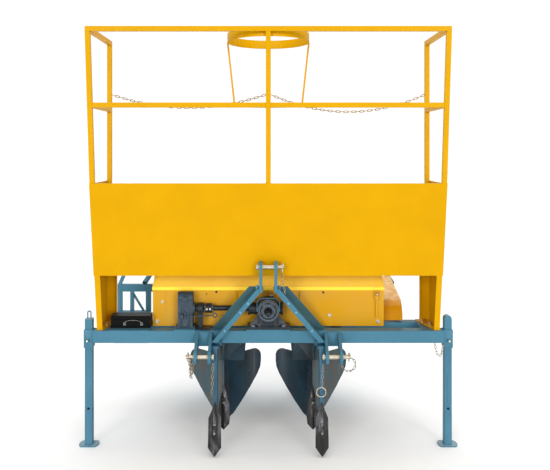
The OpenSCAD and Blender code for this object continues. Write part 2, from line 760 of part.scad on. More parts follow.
ridger_x = row_x - 40;
ripper_x = row_x + 10;
ripper_y = -110;
share_top = 355;
share_lean = 8;
share_t = 12;
// Where the back of the ripper share stands at a height
function share_back(z) = ripper_y - 1.4 - (share_top - z) * tan(share_lean);

// Side view of a shank, [y, z]: it curves forward to the share
module shank_outline() difference() {
    polygon([
        [ripper_y + 30, beam_z], [ripper_y + 90, beam_z], [ripper_y + 72, 420], [ripper_y + 56, 260],
        [ripper_y + 4, 125], [share_back(125), 125], [share_back(share_top), share_top]
    ]);
    translate([ripper_y + 360, 260]) circle(r = 304);
}

module ripper_shanks() color(blue) placed() both_sides() {
    along_x(ripper_x - shank_t / 2, shank_t) shank_outline();
    block([ripper_x - 24, ripper_y + 30, beam_z - 15], [ripper_x + 24, 22, beam_z]);
    block([ripper_x - 40, -12, beam_z - 15], [ripper_x + 22, 0, beam_z + 22]);
}

// Front view of a ripper share, [x, height above its tip]
module share_outline() {
    half = share_w / 2;
    top = share_top - ripper_tip_z;
    polygon([
        [0, top], [0.5 * half, top - 58], [0.95 * half, top - 105], [half, 56], [0, 0],
        [-half, 56], [-0.95 * half, top - 105], [-0.5 * half, top - 58]
    ]);
}

// Crowned plate standing on the XZ plane, bulging towards -Y
module crowned(r, t, h) translate([0, r, 0]) difference() {
    cylinder(r = r, h = h);
    translate([0, 0, -1]) cylinder(r = r - t, h = h + 2);
}

module ripper_shares() color(black) placed() both_sides()
    translate([ripper_x, ripper_y - 15, share_top]) rotate([-share_lean, 0, 0])
        translate([0, 0, ripper_tip_z - share_top]) {
            intersection() {
                crowned(90, share_t, share_top);
                along_y(-5, 40) share_outline();
            }
            for (z = [150, 205]) bar_y(-4, 6, 0, z, 17);
        }

// Front view of one wing, [x, z] with x counted from the ridge
wing_points = [
    [0, 170], [0.08, 171], [0.15, 178], [0.25, 193], [0.46, 257], [0.7, 345],
    [0.9, 432], [0.98, 480], [1, 520], [1, 555], [0.81, 604], [0.2, 580], [0, 566]
];
module wing_outline() {
    half = ridger_w / 2;
    polygon([for (p = wing_points) [p.x * half, p.y]]);
    translate([0.81 * half, 556]) circle(r = 0.19 * half);
}

// One wing: a plate swept back on an arc and leaning back, cut to its front view
module wing() intersection() {
    translate([0, 30, 170]) rotate([-wing_lean, 0, 0])
        translate([wing_r * cos(30), -wing_r / 2, -60]) difference() {
            cylinder(r = wing_r, h = 560, $fn = 96);
            translate([0, 0, -1]) cylinder(r = wing_r - wing_t, h = 562, $fn = 96);
        }
    along_y(8, 280) wing_outline();
}

module ridgers() color(dark) placed() both_sides() translate([ridger_x, 0, 0]) {
    wing();
    mirror([1, 0, 0]) wing();
    translate([0, 40.5, 170]) rotate([-wing_lean, 0, 0]) translate([0, 0, 6]) cylinder(d = 18, h = 385);
    block([-13, 88, 330], [13, 118, beam_z - 10]);
    block([-8, 70, 340], [8, 90, 400]);
    along_y(100, 8) polygon([[-150, beam_z - 10], [50, beam_z - 10], [44, 560], [-136, 560]]);
    block([-150, 24, beam_z - 10], [50, 118, beam_z]);
    for (x = [-120, 30], y = [36, 106]) translate([x, y - 1, beam_z - 18]) cylinder(d = 20, h = 10);
}

// Front view of a ridger's share, [x, z]
module point_outline() polygon([
    [0, 420], [10, 378], [25, 320], [36, 278], [42, 200], [38, 152], [0, ridger_tip_z],
    [-38, 152], [-42, 200], [-36, 278], [-25, 320], [-10, 378]
]);

module ridger_shares() color(black) placed() both_sides() translate([ridger_x, 0, 0]) {
    intersection() {
        translate([0, 7.3, 170]) rotate([-wing_lean, 0, 0]) translate([0, 0, -80]) crowned(70, 10, 400);
        along_y(-10, 100) point_outline();
    }
    translate([0, 7.3, 170]) rotate([-wing_lean, 0, 0])
        for (z = [95, 150]) bar_y(-4, 6, 0, z, 17);
}

module sett_chutes() color(yellow) placed() both_sides() {
    chute();
    block([row_x + chute_w / 2, chute_y - 15, beam_z + 10],
        [rail_x - rail_side / 2, chute_y + 15, beam_z + 50]);
}

module chute() {
    difference() {
        block([row_x - chute_w / 2, chute_y - chute_w / 2, chute_bottom],
            [row_x + chute_w / 2, chute_y + chute_w / 2, chute_top]);
        block([row_x - chute_w / 2 + 3, chute_y - chute_w / 2 + 3, chute_bottom - 1],
            [row_x + chute_w / 2 - 3, chute_y + chute_w / 2 - 3, chute_top + 1]);
    }
    translate([row_x, chute_y, chute_top]) difference() {
        mouth(chute_w);
        translate([0, 0, -0.5]) mouth(chute_w - 6);
    }
}

// Flared mouth of a chute
module mouth(w) linear_extrude(mouth_h, scale = 1.5) square(w, center = true);

module foot_deck() color(blue) placed() {
    block([-820, deck_y, deck_z - deck_t], [820, deck_rear_y, deck_z]);
    for (side = [-1, 1], y = [deck_y + 20, deck_rear_y - 60])
        block([side * rail_x - 20, y, deck_z], [side * rail_x + 20, y + 40, beam_z]);
}

// Places of the boarding step's uprights, [x, width]
step_out = cage_half + 33;
step_posts = [[-step_out, 36], [-step_out + 101, 28], [-step_out + 226, 40]];
step_y = deck_rear_y + 12;
step_z = beam_top + 94;
step_low_z = 500;
step_bar_h = 58;

module boarding_step() color(blue) placed() {
    block([-step_out, step_y, step_z], [-rail_x + 20, step_y + 36, step_z + step_bar_h]);
    block([-rail_x - 20, step_y, beam_z + rail_side], [-rail_x + 20, step_y + 36, step_z]);
    for (p = step_posts) block([p[0], step_y, step_low_z], [p[0] + p[1], step_y + 36, step_z]);
    for (z = [step_low_z, step_low_z + 200])
        block([-step_out, step_y - 100, z], [-step_out + 266, step_y + 36, z + 28]);
    strut([-step_out + 112, step_y + 18, step_z], [-step_out + 207, step_y + 18, step_low_z + 228], 20, 12);
    strut([-step_out + 16, step_y + 18, step_z + step_bar_h], [-step_out + 111, step_y + 18, step_z + 275], 30, 30);
}

// Square with rounded corners
module rounded(w, h, r) {
    translate([-w / 2 + r, 0]) square([w - 2 * r, h]);
    translate([-w / 2, r]) square([w, h - 2 * r]);
    for (x = [-w / 2 + r, w / 2 - r], y = [r, h - r]) translate([x, y]) circle(r = r);
}

module seat_frames() color(blue) placed() both_sides() translate([seat_x, 0, 0]) {
    block([-20, seat_y + 120, beam_z + rail_side], [20, seat_y + 160, seat_z - 70]);
    block([-60, seat_y + 80, seat_z - 78], [60, seat_y + 200, seat_z - 70]);
    translate([0, seat_y, seat_z - 70]) linear_extrude(10) rounded(seat_w, seat_d, 40);
    along_y(seat_y + seat_d, 10) translate([0, seat_z - 70]) rounded(seat_w, 320, 60);
    for (x = [-90, 84]) along_x(x, 6) polygon([
        [seat_y + seat_d - 1, seat_z - 60], [seat_y + seat_d - 1, seat_z - 78],
        [seat_y + seat_d - 120, seat_z - 78], [seat_y + seat_d - 120, seat_z - 69.5]]);
}

module seat_pads() color(black) placed() both_sides()
    block([seat_x - seat_w / 2, seat_y, seat_z - 60], [seat_x + seat_w / 2, seat_y + seat_d, seat_z]);

// Round pipe from one point to another
module pipe(p, q, d) {
    v = q - p;
    translate(p) rotate([0, acos(v.z / norm(v)), atan2(v.y, v.x)]) cylinder(d = d, h = norm(v));
}

pipe_d = 42;
back_rail = [850, seat_y + seat_d + 10 + pipe_d / 2, seat_z + 190];
pipe_end = [cage_half - 198, 735, seat_z - 46];

module grab_pipes() color(blue) placed() {
    bar_x(-back_rail.x - 30, back_rail.x + 30, back_rail.y, back_rail.z, pipe_d);
    both_sides() difference() {
        pipe(pipe_end, back_rail, pipe_d - 2);
        pipe(pipe_end - (back_rail - pipe_end) * 0.05, pipe_end + (back_rail - pipe_end) * 0.5, pipe_d - 10);
    }
}

module wheel_arms() color(blue) placed() both_sides() {
    for (x = [arm_x, 2 * wheel_x - arm_x])
        block([x - 6, wheel_y - 40, axle_z - 40], [x + 6, wheel_y + 40, beam_z]);
    block([2 * wheel_x - arm_x - 6, wheel_y - 40, beam_z - 10],
        [rail_x + rail_side / 2, wheel_y + 40, beam_z]);
    bar_x(2 * wheel_x - arm_x, arm_x, wheel_y, axle_z, axle_d);
}

module press_wheel(x) color(blue) placed() translate([x, wheel_y, axle_z]) rotate([0, 90, 0]) {
    translate([0, 0, -wheel_w / 2]) ring(wheel_d, rim_t, wheel_w);
    difference() {
        union() {
            translate([0, 0, -wheel_w / 2 - 4]) cylinder(d = axle_d + 26, h = wheel_w + 8);
            for (side = [-1, 1]) translate([0, 0, side * wheel_w / 4 - 4])
                cylinder(d = wheel_d - rim_t, h = 8);
        }
        for (i = [0:5]) rotate([0, 0, i * 60]) translate([wheel_d * 0.28, 0, -wheel_w])
            cylinder(d = 64, h = 2 * wheel_w);
        translate([0, 0, -wheel_w]) cylinder(d = axle_d + 2 * shaft_play, h = 2 * wheel_w);
    }
}

module press_wheel_left() press_wheel(-wheel_x);
module press_wheel_right() press_wheel(wheel_x);

front_beam();
rear_beam();
frame_rails();
stand_sleeves();
stand_leg_left();
stand_leg_right();
hitch_brackets();
lower_hitch_pins();
mast();
mast_stays();
top_link_pin();
mount_plates();
gearbox();
gearbox_strap();
pto_shaft();
cross_shaft();
shaft_bearing();
drive_case();
cage_legs();
hopper_front();
hopper_sides();
hopper_floor();
hopper_rear();
cage_front_posts();
cage_rear_posts();
cage_front_rails();
cage_side_rails();
drum_hoop();
drum_ring();
drum_rods();
safety_chains();
fertiliser_box();
fertiliser_lid();
box_latch();
hopper_gussets();
drive_guard();
toolbox();
toolbox_lid();
ripper_shanks();
ripper_shares();
ridgers();
ridger_shares();
sett_chutes();
foot_deck();
boarding_step();
seat_frames();
seat_pads();
grab_pipes();
wheel_arms();
press_wheel_left();
press_wheel_right();
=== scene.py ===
"""Looks of a two-row sugarcane planter for a tractor's three-point hitch.

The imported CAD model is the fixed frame. Every sheet, tube and casting of it is
shown with rounded edges and its own finish, and the fittings that are too fine
for the CAD model (chain links, linch pins, bolts, weld beads, handles, seat
cushions) are modelled here, in metres, in the same frame.
"""

import json
import logging
import math
from collections.abc import Iterator
from contextlib import contextmanager
from dataclasses import dataclass
from enum import Enum
from typing import Protocol

import bmesh
import bpy
import numpy as np
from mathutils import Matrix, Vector
from mathutils.bvhtree import BVHTree

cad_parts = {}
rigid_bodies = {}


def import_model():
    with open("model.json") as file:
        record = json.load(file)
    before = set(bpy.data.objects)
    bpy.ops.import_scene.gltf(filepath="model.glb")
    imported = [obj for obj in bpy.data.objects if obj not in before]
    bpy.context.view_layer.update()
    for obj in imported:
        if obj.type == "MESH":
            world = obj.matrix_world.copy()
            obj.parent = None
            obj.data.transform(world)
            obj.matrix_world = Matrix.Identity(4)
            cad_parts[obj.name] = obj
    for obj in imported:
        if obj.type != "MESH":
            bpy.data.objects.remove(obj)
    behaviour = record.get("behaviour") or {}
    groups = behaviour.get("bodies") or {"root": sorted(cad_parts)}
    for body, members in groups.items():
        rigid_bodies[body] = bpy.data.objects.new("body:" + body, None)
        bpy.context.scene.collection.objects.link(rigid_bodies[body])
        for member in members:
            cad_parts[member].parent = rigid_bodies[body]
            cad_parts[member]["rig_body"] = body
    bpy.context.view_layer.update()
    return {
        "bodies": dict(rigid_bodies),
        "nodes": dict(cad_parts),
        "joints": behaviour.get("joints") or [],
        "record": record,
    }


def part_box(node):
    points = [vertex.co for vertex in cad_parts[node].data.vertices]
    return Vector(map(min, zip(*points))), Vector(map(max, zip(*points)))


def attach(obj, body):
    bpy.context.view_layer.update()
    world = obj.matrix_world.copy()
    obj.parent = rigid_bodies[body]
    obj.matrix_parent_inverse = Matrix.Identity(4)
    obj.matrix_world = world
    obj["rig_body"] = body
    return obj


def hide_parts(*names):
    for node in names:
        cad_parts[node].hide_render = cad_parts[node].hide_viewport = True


LOG = logging.getLogger("planter")
MM = 0.001
PHOTO_WIDTH = 550
PHOTO_HEIGHT = 470
SIDES = (-1, 1)
Piece = bpy.types.Object
Place = tuple[float, float, float]
Table = tuple[tuple[float, ...], ...]


class Axis(Enum):
    """Direction in which a fastener or a round part points."""

    LEFT = (-1.0, 0.0, 0.0)
    RIGHT = (1.0, 0.0, 0.0)
    FRONT = (0.0, -1.0, 0.0)
    BACK = (0.0, 1.0, 0.0)
    UP = (0.0, 0.0, 1.0)


OUTWARDS = (Axis.LEFT, Axis.RIGHT)


def linear(code: str) -> tuple[float, float, float, float]:
    """Turns an sRGB hex colour into the linear colour that a shader socket takes.

    Args:
        code: six hex digits with or without a leading mark.

    Returns:
        Red, green, blue and alpha.
    """
    digits = code.lstrip("#")
    channels = [int(digits[i:i + 2], 16) / 255 for i in (0, 2, 4)]
    return (*[c / 12.92 if c <= 0.04045 else ((c + 0.055) / 1.055) ** 2.4 for c in channels], 1.0)


def add_node(tree: bpy.types.NodeTree, kind: str, settings: dict | None = None,
             inputs: dict | None = None, out: int | str = 0) -> bpy.types.NodeSocket:
    """Adds one shader node with its settings, socket values and links.

    Args:
        tree: the material's or world's node tree.
        kind: the node's type name after "ShaderNode".
        settings: attributes of the node.
        inputs: socket name or number, with a value or with the output that feeds it.
        out: name or number of the output that is wanted.

    Returns:
        That output of the new node.
    """
    node = tree.nodes.new("ShaderNode" + kind)
    for key, value in (settings or {}).items():
        setattr(node, key, value)
    feed(tree, node, inputs or {})
    return node.outputs[out]


def feed(tree: bpy.types.NodeTree, node: bpy.types.Node, inputs: dict) -> None:
    """Gives sockets of a node their values, or links them to the outputs that feed them.

    Args:
        tree: the node tree.
        node: the node.
        inputs: socket name or number, with a value or an output.
    """
    for key, value in inputs.items():
        if isinstance(value, bpy.types.NodeSocket):
            tree.links.new(value, node.inputs[key])
        else:
            node.inputs[key].default_value = value


def new_material(
        name: str) -> tuple[bpy.types.Material, bpy.types.NodeTree, bpy.types.Node, bpy.types.NodeSocket]:
    """Makes an empty material.

    Args:
        name: the real material's common name.

    Returns:
        The material, its node tree, its principled shader and the place on the object.
    """
    material = bpy.data.materials.new(name)
    material.use_nodes = True
    tree = material.node_tree
    return material, tree, tree.nodes["Principled BSDF"], add_node(tree, "TexCoord", out="Object")


@dataclass(frozen=True)
class SprayedEnamel:
    """Sprayed enamel on mild steel: an even coat with orange peel, faint clouding and settled dust.

    The coat gives a broad soft gloss. Up-facing surfaces hold a thin pale dust, and the tone drifts over some 300 mm.
    """

    name: str
    colour: str
    cloud: str
    dust: str
    roughness: float = 0.38
    dust_amount: float = 0.25
    peel_mm: float = 6.0
    cloud_mm: float = 300.0
    grit_mm: float = 45.0
    gloss: float = 0.35

    def material(self) -> bpy.types.Material:
        """Builds the paint.

        Returns:
            The material.
        """
        material, tree, shader, place = new_material(self.name)
        drift = add_node(tree, "TexNoise", inputs={
            "Vector": place, "Scale": 1000 / self.cloud_mm, "Detail": 4.0, "Roughness": 0.55})
        drift_ramp = add_node(tree, "MapRange", inputs={0: drift, 1: 0.38, 2: 0.68, 3: 0.0, 4: 1.0})
        tone = add_node(tree, "MixRGB", inputs={0: drift_ramp, 1: linear(self.colour), 2: linear(self.cloud)})
        normal = add_node(tree, "NewGeometry", out="Normal")
        up = add_node(tree, "SeparateXYZ", inputs={0: normal}, out="Z")
        grit = add_node(tree, "TexNoise", inputs={
            "Vector": place, "Scale": 1000 / self.grit_mm, "Detail": 6.0, "Roughness": 0.7})
        settled = add_node(tree, "MapRange", inputs={0: up, 1: 0.55, 2: 0.98, 3: 0.0, 4: self.dust_amount})
        spread = add_node(tree, "MapRange", inputs={0: grit, 1: 0.35, 2: 0.7, 3: 0.3, 4: 1.0})
        dusty = add_node(tree, "Math", {"operation": "MULTIPLY"}, {0: settled, 1: spread})
        coat = add_node(tree, "MixRGB", inputs={0: dusty, 1: tone, 2: linear(self.dust)})
        rough = add_node(tree, "MapRange", inputs={
            0: grit, 1: 0.3, 2: 0.75, 3: self.roughness - 0.05, 4: self.roughness + 0.1})
        peel = add_node(tree, "TexNoise", inputs={"Vector": place, "Scale": 1000 / self.peel_mm, "Detail": 2.0})
        bump = add_node(tree, "Bump", inputs={"Strength": 0.12, "Distance": 0.0006, "Height": peel})
        feed(tree, shader, {"Base Color": coat, "Roughness": rough, "Normal": bump,
                            "IOR": 1.5, "Specular IOR Level": self.gloss})
        return material


@dataclass(frozen=True)
class WingEnamel(SprayedEnamel):
    """Enamel of the furrow openers: dark on the inward faces, and lighter and patched grey with soil on the outward
    ones. The dark inward tone is painted shade and the lighter outward tone is painted light.

    Outwards is where the surface's normal points away from the machine's middle.
    """

    outer: str = "50646C"
    lit_outer_worn: str = "5E5F5E"
    wear_mm: float = 130.0

    def material(self) -> bpy.types.Material:
        """Builds the paint, with the outward tone mixed over it.

        Returns:
            The material.
        """
        material = super().material()
        tree = material.node_tree
        shader = tree.nodes["Principled BSDF"]
        base = shader.inputs["Base Color"].links[0].from_socket
        place = add_node(tree, "TexCoord", out="Object")
        x = add_node(tree, "SeparateXYZ", inputs={0: place}, out="X")
        normal = add_node(tree, "SeparateXYZ", inputs={0: add_node(tree, "NewGeometry", out="Normal")}, out="X")
        side = add_node(tree, "Math", {"operation": "SIGN"}, {0: x})
        # Outward faces get the lighter tone, which is painted light; inward faces keep the dark base, which is painted
        # shade.
        outward = add_node(tree, "Math", {"operation": "MULTIPLY"}, {0: normal, 1: side})
        amount = add_node(tree, "MapRange", inputs={0: outward, 1: -0.05, 2: 0.3})
        wear = add_node(tree, "TexNoise", inputs={
            "Vector": place, "Scale": 1000 / self.wear_mm, "Detail": 5.0, "Roughness": 0.6})
        worn = add_node(tree, "MapRange", inputs={0: wear, 1: 0.42, 2: 0.6})
        tone = add_node(tree, "MixRGB", inputs={0: worn, 1: linear(self.outer), 2: linear(self.lit_outer_worn)})
        both = add_node(tree, "MixRGB", inputs={0: amount, 1: base, 2: tone})
        feed(tree, shader, {"Base Color": both})
        return material


@dataclass(frozen=True)
class HammeredPaint:
    """Hammer-finish paint on cast iron: dark, glossy, with dimples 5 to 9 mm wide."""

    name: str
    colour: str
    light: str
    dimple_mm: float = 7.0
    roughness: float = 0.3

    def material(self) -> bpy.types.Material:
        """Builds the dimpled paint.

        Returns:
            The material.
        """
        material, tree, shader, place = new_material(self.name)
        cells = add_node(tree, "TexVoronoi", {"feature": "SMOOTH_F1"}, {
            "Vector": place, "Scale": 1000 / self.dimple_mm, "Smoothness": 0.6})
        tone = add_node(tree, "MixRGB", inputs={0: cells, 1: linear(self.colour), 2: linear(self.light)})
        bump = add_node(tree, "Bump", inputs={"Strength": 0.55, "Distance": 0.0015, "Height": cells})
        feed(tree, shader, {"Base Color": tone, "Normal": bump, "Roughness": self.roughness,
                            "Specular IOR Level": 0.25})
        return material


@dataclass(frozen=True)
class PlatedSteel:
    """Zinc-plated steel: bright grey metal with a mottled, slightly yellow passivation."""

    name: str
    colour: str
    stain: str
    roughness: float = 0.34
    mottle_mm: float = 12.0

    def material(self) -> bpy.types.Material:
        """Builds the plating.

        Returns:
            The material.
        """
        material, tree, shader, place = new_material(self.name)
        mottle = add_node(tree, "TexNoise", inputs={
            "Vector": place, "Scale": 1000 / self.mottle_mm, "Detail": 5.0, "Roughness": 0.65})
        amount = add_node(tree, "MapRange", inputs={0: mottle, 1: 0.4, 2: 0.65})
        tone = add_node(tree, "MixRGB", inputs={0: amount, 1: linear(self.colour), 2: linear(self.stain)})
        rough = add_node(tree, "MapRange", inputs={
            0: mottle, 3: self.roughness - 0.08, 4: self.roughness + 0.18})
        feed(tree, shader, {"Base Color": tone, "Roughness": rough, "Metallic": 1.0})
        return material


@dataclass(frozen=True)
class ScouredSteel:
    """Hardened share steel: black coat scoured off in streaks where the soil runs over it.

    The streaks run down the share, some 4 mm wide and 80 mm long.
    """

    name: str
    coat: str
    bare: str
    streak_mm: float = 4.0
    run_mm: float = 80.0
    roughness: float = 0.36

    def material(self) -> bpy.types.Material:
        """Builds the scoured coat.

        Returns:
            The material.
        """
        material, tree, shader, place = new_material(self.name)
        run = add_node(tree, "Mapping", inputs={
            "Vector": place, "Scale": (1000 / self.streak_mm, 1000 / self.streak_mm, 1000 / self.run_mm)})
        streak = add_node(tree, "TexNoise", inputs={
            "Vector": run, "Scale": 0.35, "Detail": 4.0, "Roughness": 0.6})
        bare = add_node(tree, "MapRange", inputs={0: streak, 1: 0.48, 2: 0.75})
        tone = add_node(tree, "MixRGB", inputs={0: bare, 1: linear(self.coat), 2: linear(self.bare)})
        metal = add_node(tree, "MapRange", inputs={0: bare, 3: 0.1, 4: 0.7})
        bump = add_node(tree, "Bump", inputs={"Strength": 0.25, "Distance": 0.0006, "Height": streak})
        feed(tree, shader, {"Base Color": tone, "Metallic": metal, "Normal": bump,
                            "Roughness": self.roughness})
        return material


@dataclass(frozen=True)
class GrainedVinyl:
    """Embossed seat vinyl: black, with leather grain about 2 mm wide, drawn at 3 mm so that it shows."""

    name: str
    colour: str
    worn: str
    grain_mm: float = 3.0
    wear_mm: float = 120.0
    roughness: float = 0.5

    def material(self) -> bpy.types.Material:
        """Builds the vinyl.

        Returns:
            The material.
        """
        material, tree, shader, place = new_material(self.name)
        grain = add_node(tree, "TexVoronoi", {"feature": "DISTANCE_TO_EDGE"}, {
            "Vector": place, "Scale": 1000 / self.grain_mm})
        wear = add_node(tree, "TexNoise", inputs={"Vector": place, "Scale": 1000 / self.wear_mm, "Detail": 5.0})
        amount = add_node(tree, "MapRange", inputs={0: wear, 1: 0.4, 2: 0.75})
        tone = add_node(tree, "MixRGB", inputs={0: amount, 1: linear(self.colour), 2: linear(self.worn)})
        bump = add_node(tree, "Bump", inputs={"Strength": 0.35, "Distance": 0.0006, "Height": grain})
        feed(tree, shader, {"Base Color": tone, "Normal": bump, "Roughness": self.roughness})
        return material


YELLOW_ENAMEL = SprayedEnamel("yellow_enamel", "CE9901", "C89301", "E8C878", roughness=0.36, gloss=0.05)
# Lid paint: a paler, brighter yellow than the panel's. This is a painted sheen for the gloss that the sloping lid
# catches. Its slope also holds the pale dust of the other paints.
LID_ENAMEL = SprayedEnamel("sheen_painted_yellow_enamel", "FFDC3C", "FFD434", "FFECB8", roughness=0.4, dust_amount=0.3,
                           gloss=0.3)
BOX_ENAMEL = SprayedEnamel("dusty_yellow_enamel", "CE960F", "C6983A", "DFC48A", roughness=0.4, dust_amount=0.4,
                           cloud_mm=320.0, gloss=0.12)
GUARD_ENAMEL = SprayedEnamel("guard_enamel", "C48402", "BA7C04", "FFE2AC", roughness=0.36, dust_amount=0.85, gloss=0.1)
BLUE_ENAMEL = SprayedEnamel("blue_enamel", "40748A", "3A6B80", "5C8090", roughness=0.4, gloss=0.22)
FOOT_ENAMEL = SprayedEnamel("stand_enamel", "40748A", "3A6B80", "A9B6BA", roughness=0.4, dust_amount=0.8, gloss=0.22)
FRESH_BLUE = SprayedEnamel("light_blue_enamel", "6FA0B4", "5C90A6", "8FB0BC", roughness=0.36, dust_amount=0.2,
                           gloss=0.4)
# Paint of the dark_blue slot: the frame's blue painted darker. This is a painted shade for the stays, which lie in
# shade and face away from the light.
STAY_ENAMEL = SprayedEnamel("shade_darkened_blue_enamel", "3F6268", "37565C", "6F8790", roughness=0.36, dust_amount=0.3, gloss=0.4)
# Furrow openers' paint: the dark base colour is painted shade on the inward faces, and the lighter outer tones are
# painted light on the outward faces, patched grey with soil.
RIDGER_ENAMEL = WingEnamel("ridger_enamel", "0E1E27", "152E3B", "3A4042", roughness=0.3, dust_amount=0.1,
                           cloud_mm=160.0, gloss=0.2, outer="42565C", lit_outer_worn="505150")
BLACK_ENAMEL = SprayedEnamel("black_enamel", "050505", "080706", "24221F", roughness=0.4, dust_amount=0.2, gloss=0.1)
FLOOR_PAINT = SprayedEnamel("pale_floor", "F6F6F5", "F4F4F3", "F6F6F5", roughness=0.85, dust_amount=0.0, gloss=0.1)
CAST_BLACK = HammeredPaint("hammered_black", "0B1116", "2B363E", dimple_mm=9.0, roughness=0.3)
HAMMERED_IRON = HammeredPaint("hammered_iron", "1E2C38", "42525F", roughness=0.42)
ZINC_PLATE = PlatedSteel("zinc_plate", "D2CEC4", "B7A67C", roughness=0.3)
CHAIN_ZINC = PlatedSteel("chain_zinc", "B4AC9C", "6A5E48", roughness=0.36)
CHAIN_ENAMEL = SprayedEnamel("chain_enamel", "A87E0A", "7E5E12", "D8C080", roughness=0.36, dust_amount=0.1, gloss=0.5)
DARK_STEEL = PlatedSteel("oiled_steel", "3E4348", "2A2622", roughness=0.3)
BOLT_STEEL = PlatedSteel("blackened_bolt_steel", "8F9092", "5E5A54", roughness=0.34)
# Pale hammered paint of the gearbox cover's rings and of the gearbox bolts. Its light tone is a painted highlight for
# the light that their ridges and heads catch.
HIGHLIGHT_PAINTED_IRON = HammeredPaint("hammered_iron_painted_highlight", "3A4853", "8793A0", dimple_mm=5.0, roughness=0.25)
SHANK_ENAMEL = SprayedEnamel("shank_enamel", "2C5F78", "264F64", "5C8090", roughness=0.36, dust_amount=0.2, gloss=0.3)
SHARE_STEEL = ScouredSteel("scoured_share_steel", "0A0A0B", "77757C", streak_mm=16.0, run_mm=60.0, roughness=0.22)
SEAT_VINYL = GrainedVinyl("seat_vinyl", "121212", "1F1E1D")
BLACK_RUBBER = GrainedVinyl("black_rubber", "0D0D0D", "1B1A19", grain_mm=5.0, roughness=0.62)


class Finish(Protocol):
    """What every finish above has."""

    name: str

    def material(self) -> bpy.types.Material:
        """Builds the material."""


class Paints:
    """Makes each finish once and hands out its material."""

    def __init__(self) -> None:
        """Starts with no materials."""
        self._made: dict[str, bpy.types.Material] = {}

    def of(self, finish: Finish) -> bpy.types.Material:
        """Gives the finish's material, built at its first use.

        Args:
            finish: one of the finishes above.

        Returns:
            Its material.
        """
        if finish.name not in self._made:
            self._made[finish.name] = finish.material()
        return self._made[finish.name]


@dataclass(frozen=True)
class Coat:
    """What one record slot is finished with, and how far its edges are rounded."""

    finish: Finish
    edge_mm: float


COATS: dict[str, Coat] = {
    "yellow": Coat(YELLOW_ENAMEL, 1.6),
    "blue": Coat(BLUE_ENAMEL, 2.2),
    "dark_blue": Coat(STAY_ENAMEL, 1.5),
    "zinc": Coat(ZINC_PLATE, 1.2),
    "hammered_grey": Coat(HAMMERED_IRON, 3.0),
    "black_sheet": Coat(BLACK_ENAMEL, 1.5),
    "worn_steel": Coat(SHARE_STEEL, 2.0),
    "seat_vinyl": Coat(SEAT_VINYL, 3.0),
}
# Nodes whose coat differs from the rest of their slot
NODE_COATS: dict[str, Coat] = {
    "hopper_front": Coat(YELLOW_ENAMEL, 0.7),
    "ridgers": Coat(RIDGER_ENAMEL, 1.5),
    "fertiliser_lid": Coat(LID_ENAMEL, 1.2),
    "fertiliser_box": Coat(BOX_ENAMEL, 1.5),
    "drive_guard": Coat(GUARD_ENAMEL, 2.0),
    "stand_leg_left": Coat(FOOT_ENAMEL, 1.5),
    "stand_leg_right": Coat(FOOT_ENAMEL, 1.5),
    "ripper_shanks": Coat(SHANK_ENAMEL, 2.2),
    "box_latch": Coat(BOX_ENAMEL, 1.2),
    "gearbox": Coat(CAST_BLACK, 4.0),
    "pto_shaft": Coat(DARK_STEEL, 1.0),
    "cross_shaft": Coat(CAST_BLACK, 1.5),
    "shaft_bearing": Coat(CAST_BLACK, 2.5),
}


@contextmanager
def edited(mesh: bpy.types.Mesh) -> Iterator[bmesh.types.BMesh]:
    """Opens a mesh for editing and writes the result back.

    Args:
        mesh: the mesh.

    Yields:
        The open mesh.
    """
    shape = bmesh.new()
    shape.from_mesh(mesh)
    yield shape
    shape.to_mesh(mesh)
    shape.free()


def points_of(mesh: bpy.types.Mesh) -> np.ndarray:
    """Reads a mesh's points.

    Args:
        mesh: the mesh.

    Returns:
        One row of x, y, z per point.
    """
    points = np.empty(len(mesh.vertices) * 3)
    mesh.vertices.foreach_get("co", points)
    return points.reshape(-1, 3)


def shade_by_angle(mesh: bpy.types.Mesh, degrees: float) -> None:
    """Shades a mesh smooth and keeps edges over the given angle sharp."""
    mesh.polygons.foreach_set("use_smooth", np.ones(len(mesh.polygons), dtype=bool))
    mesh.set_sharp_from_angle(angle=math.radians(degrees))


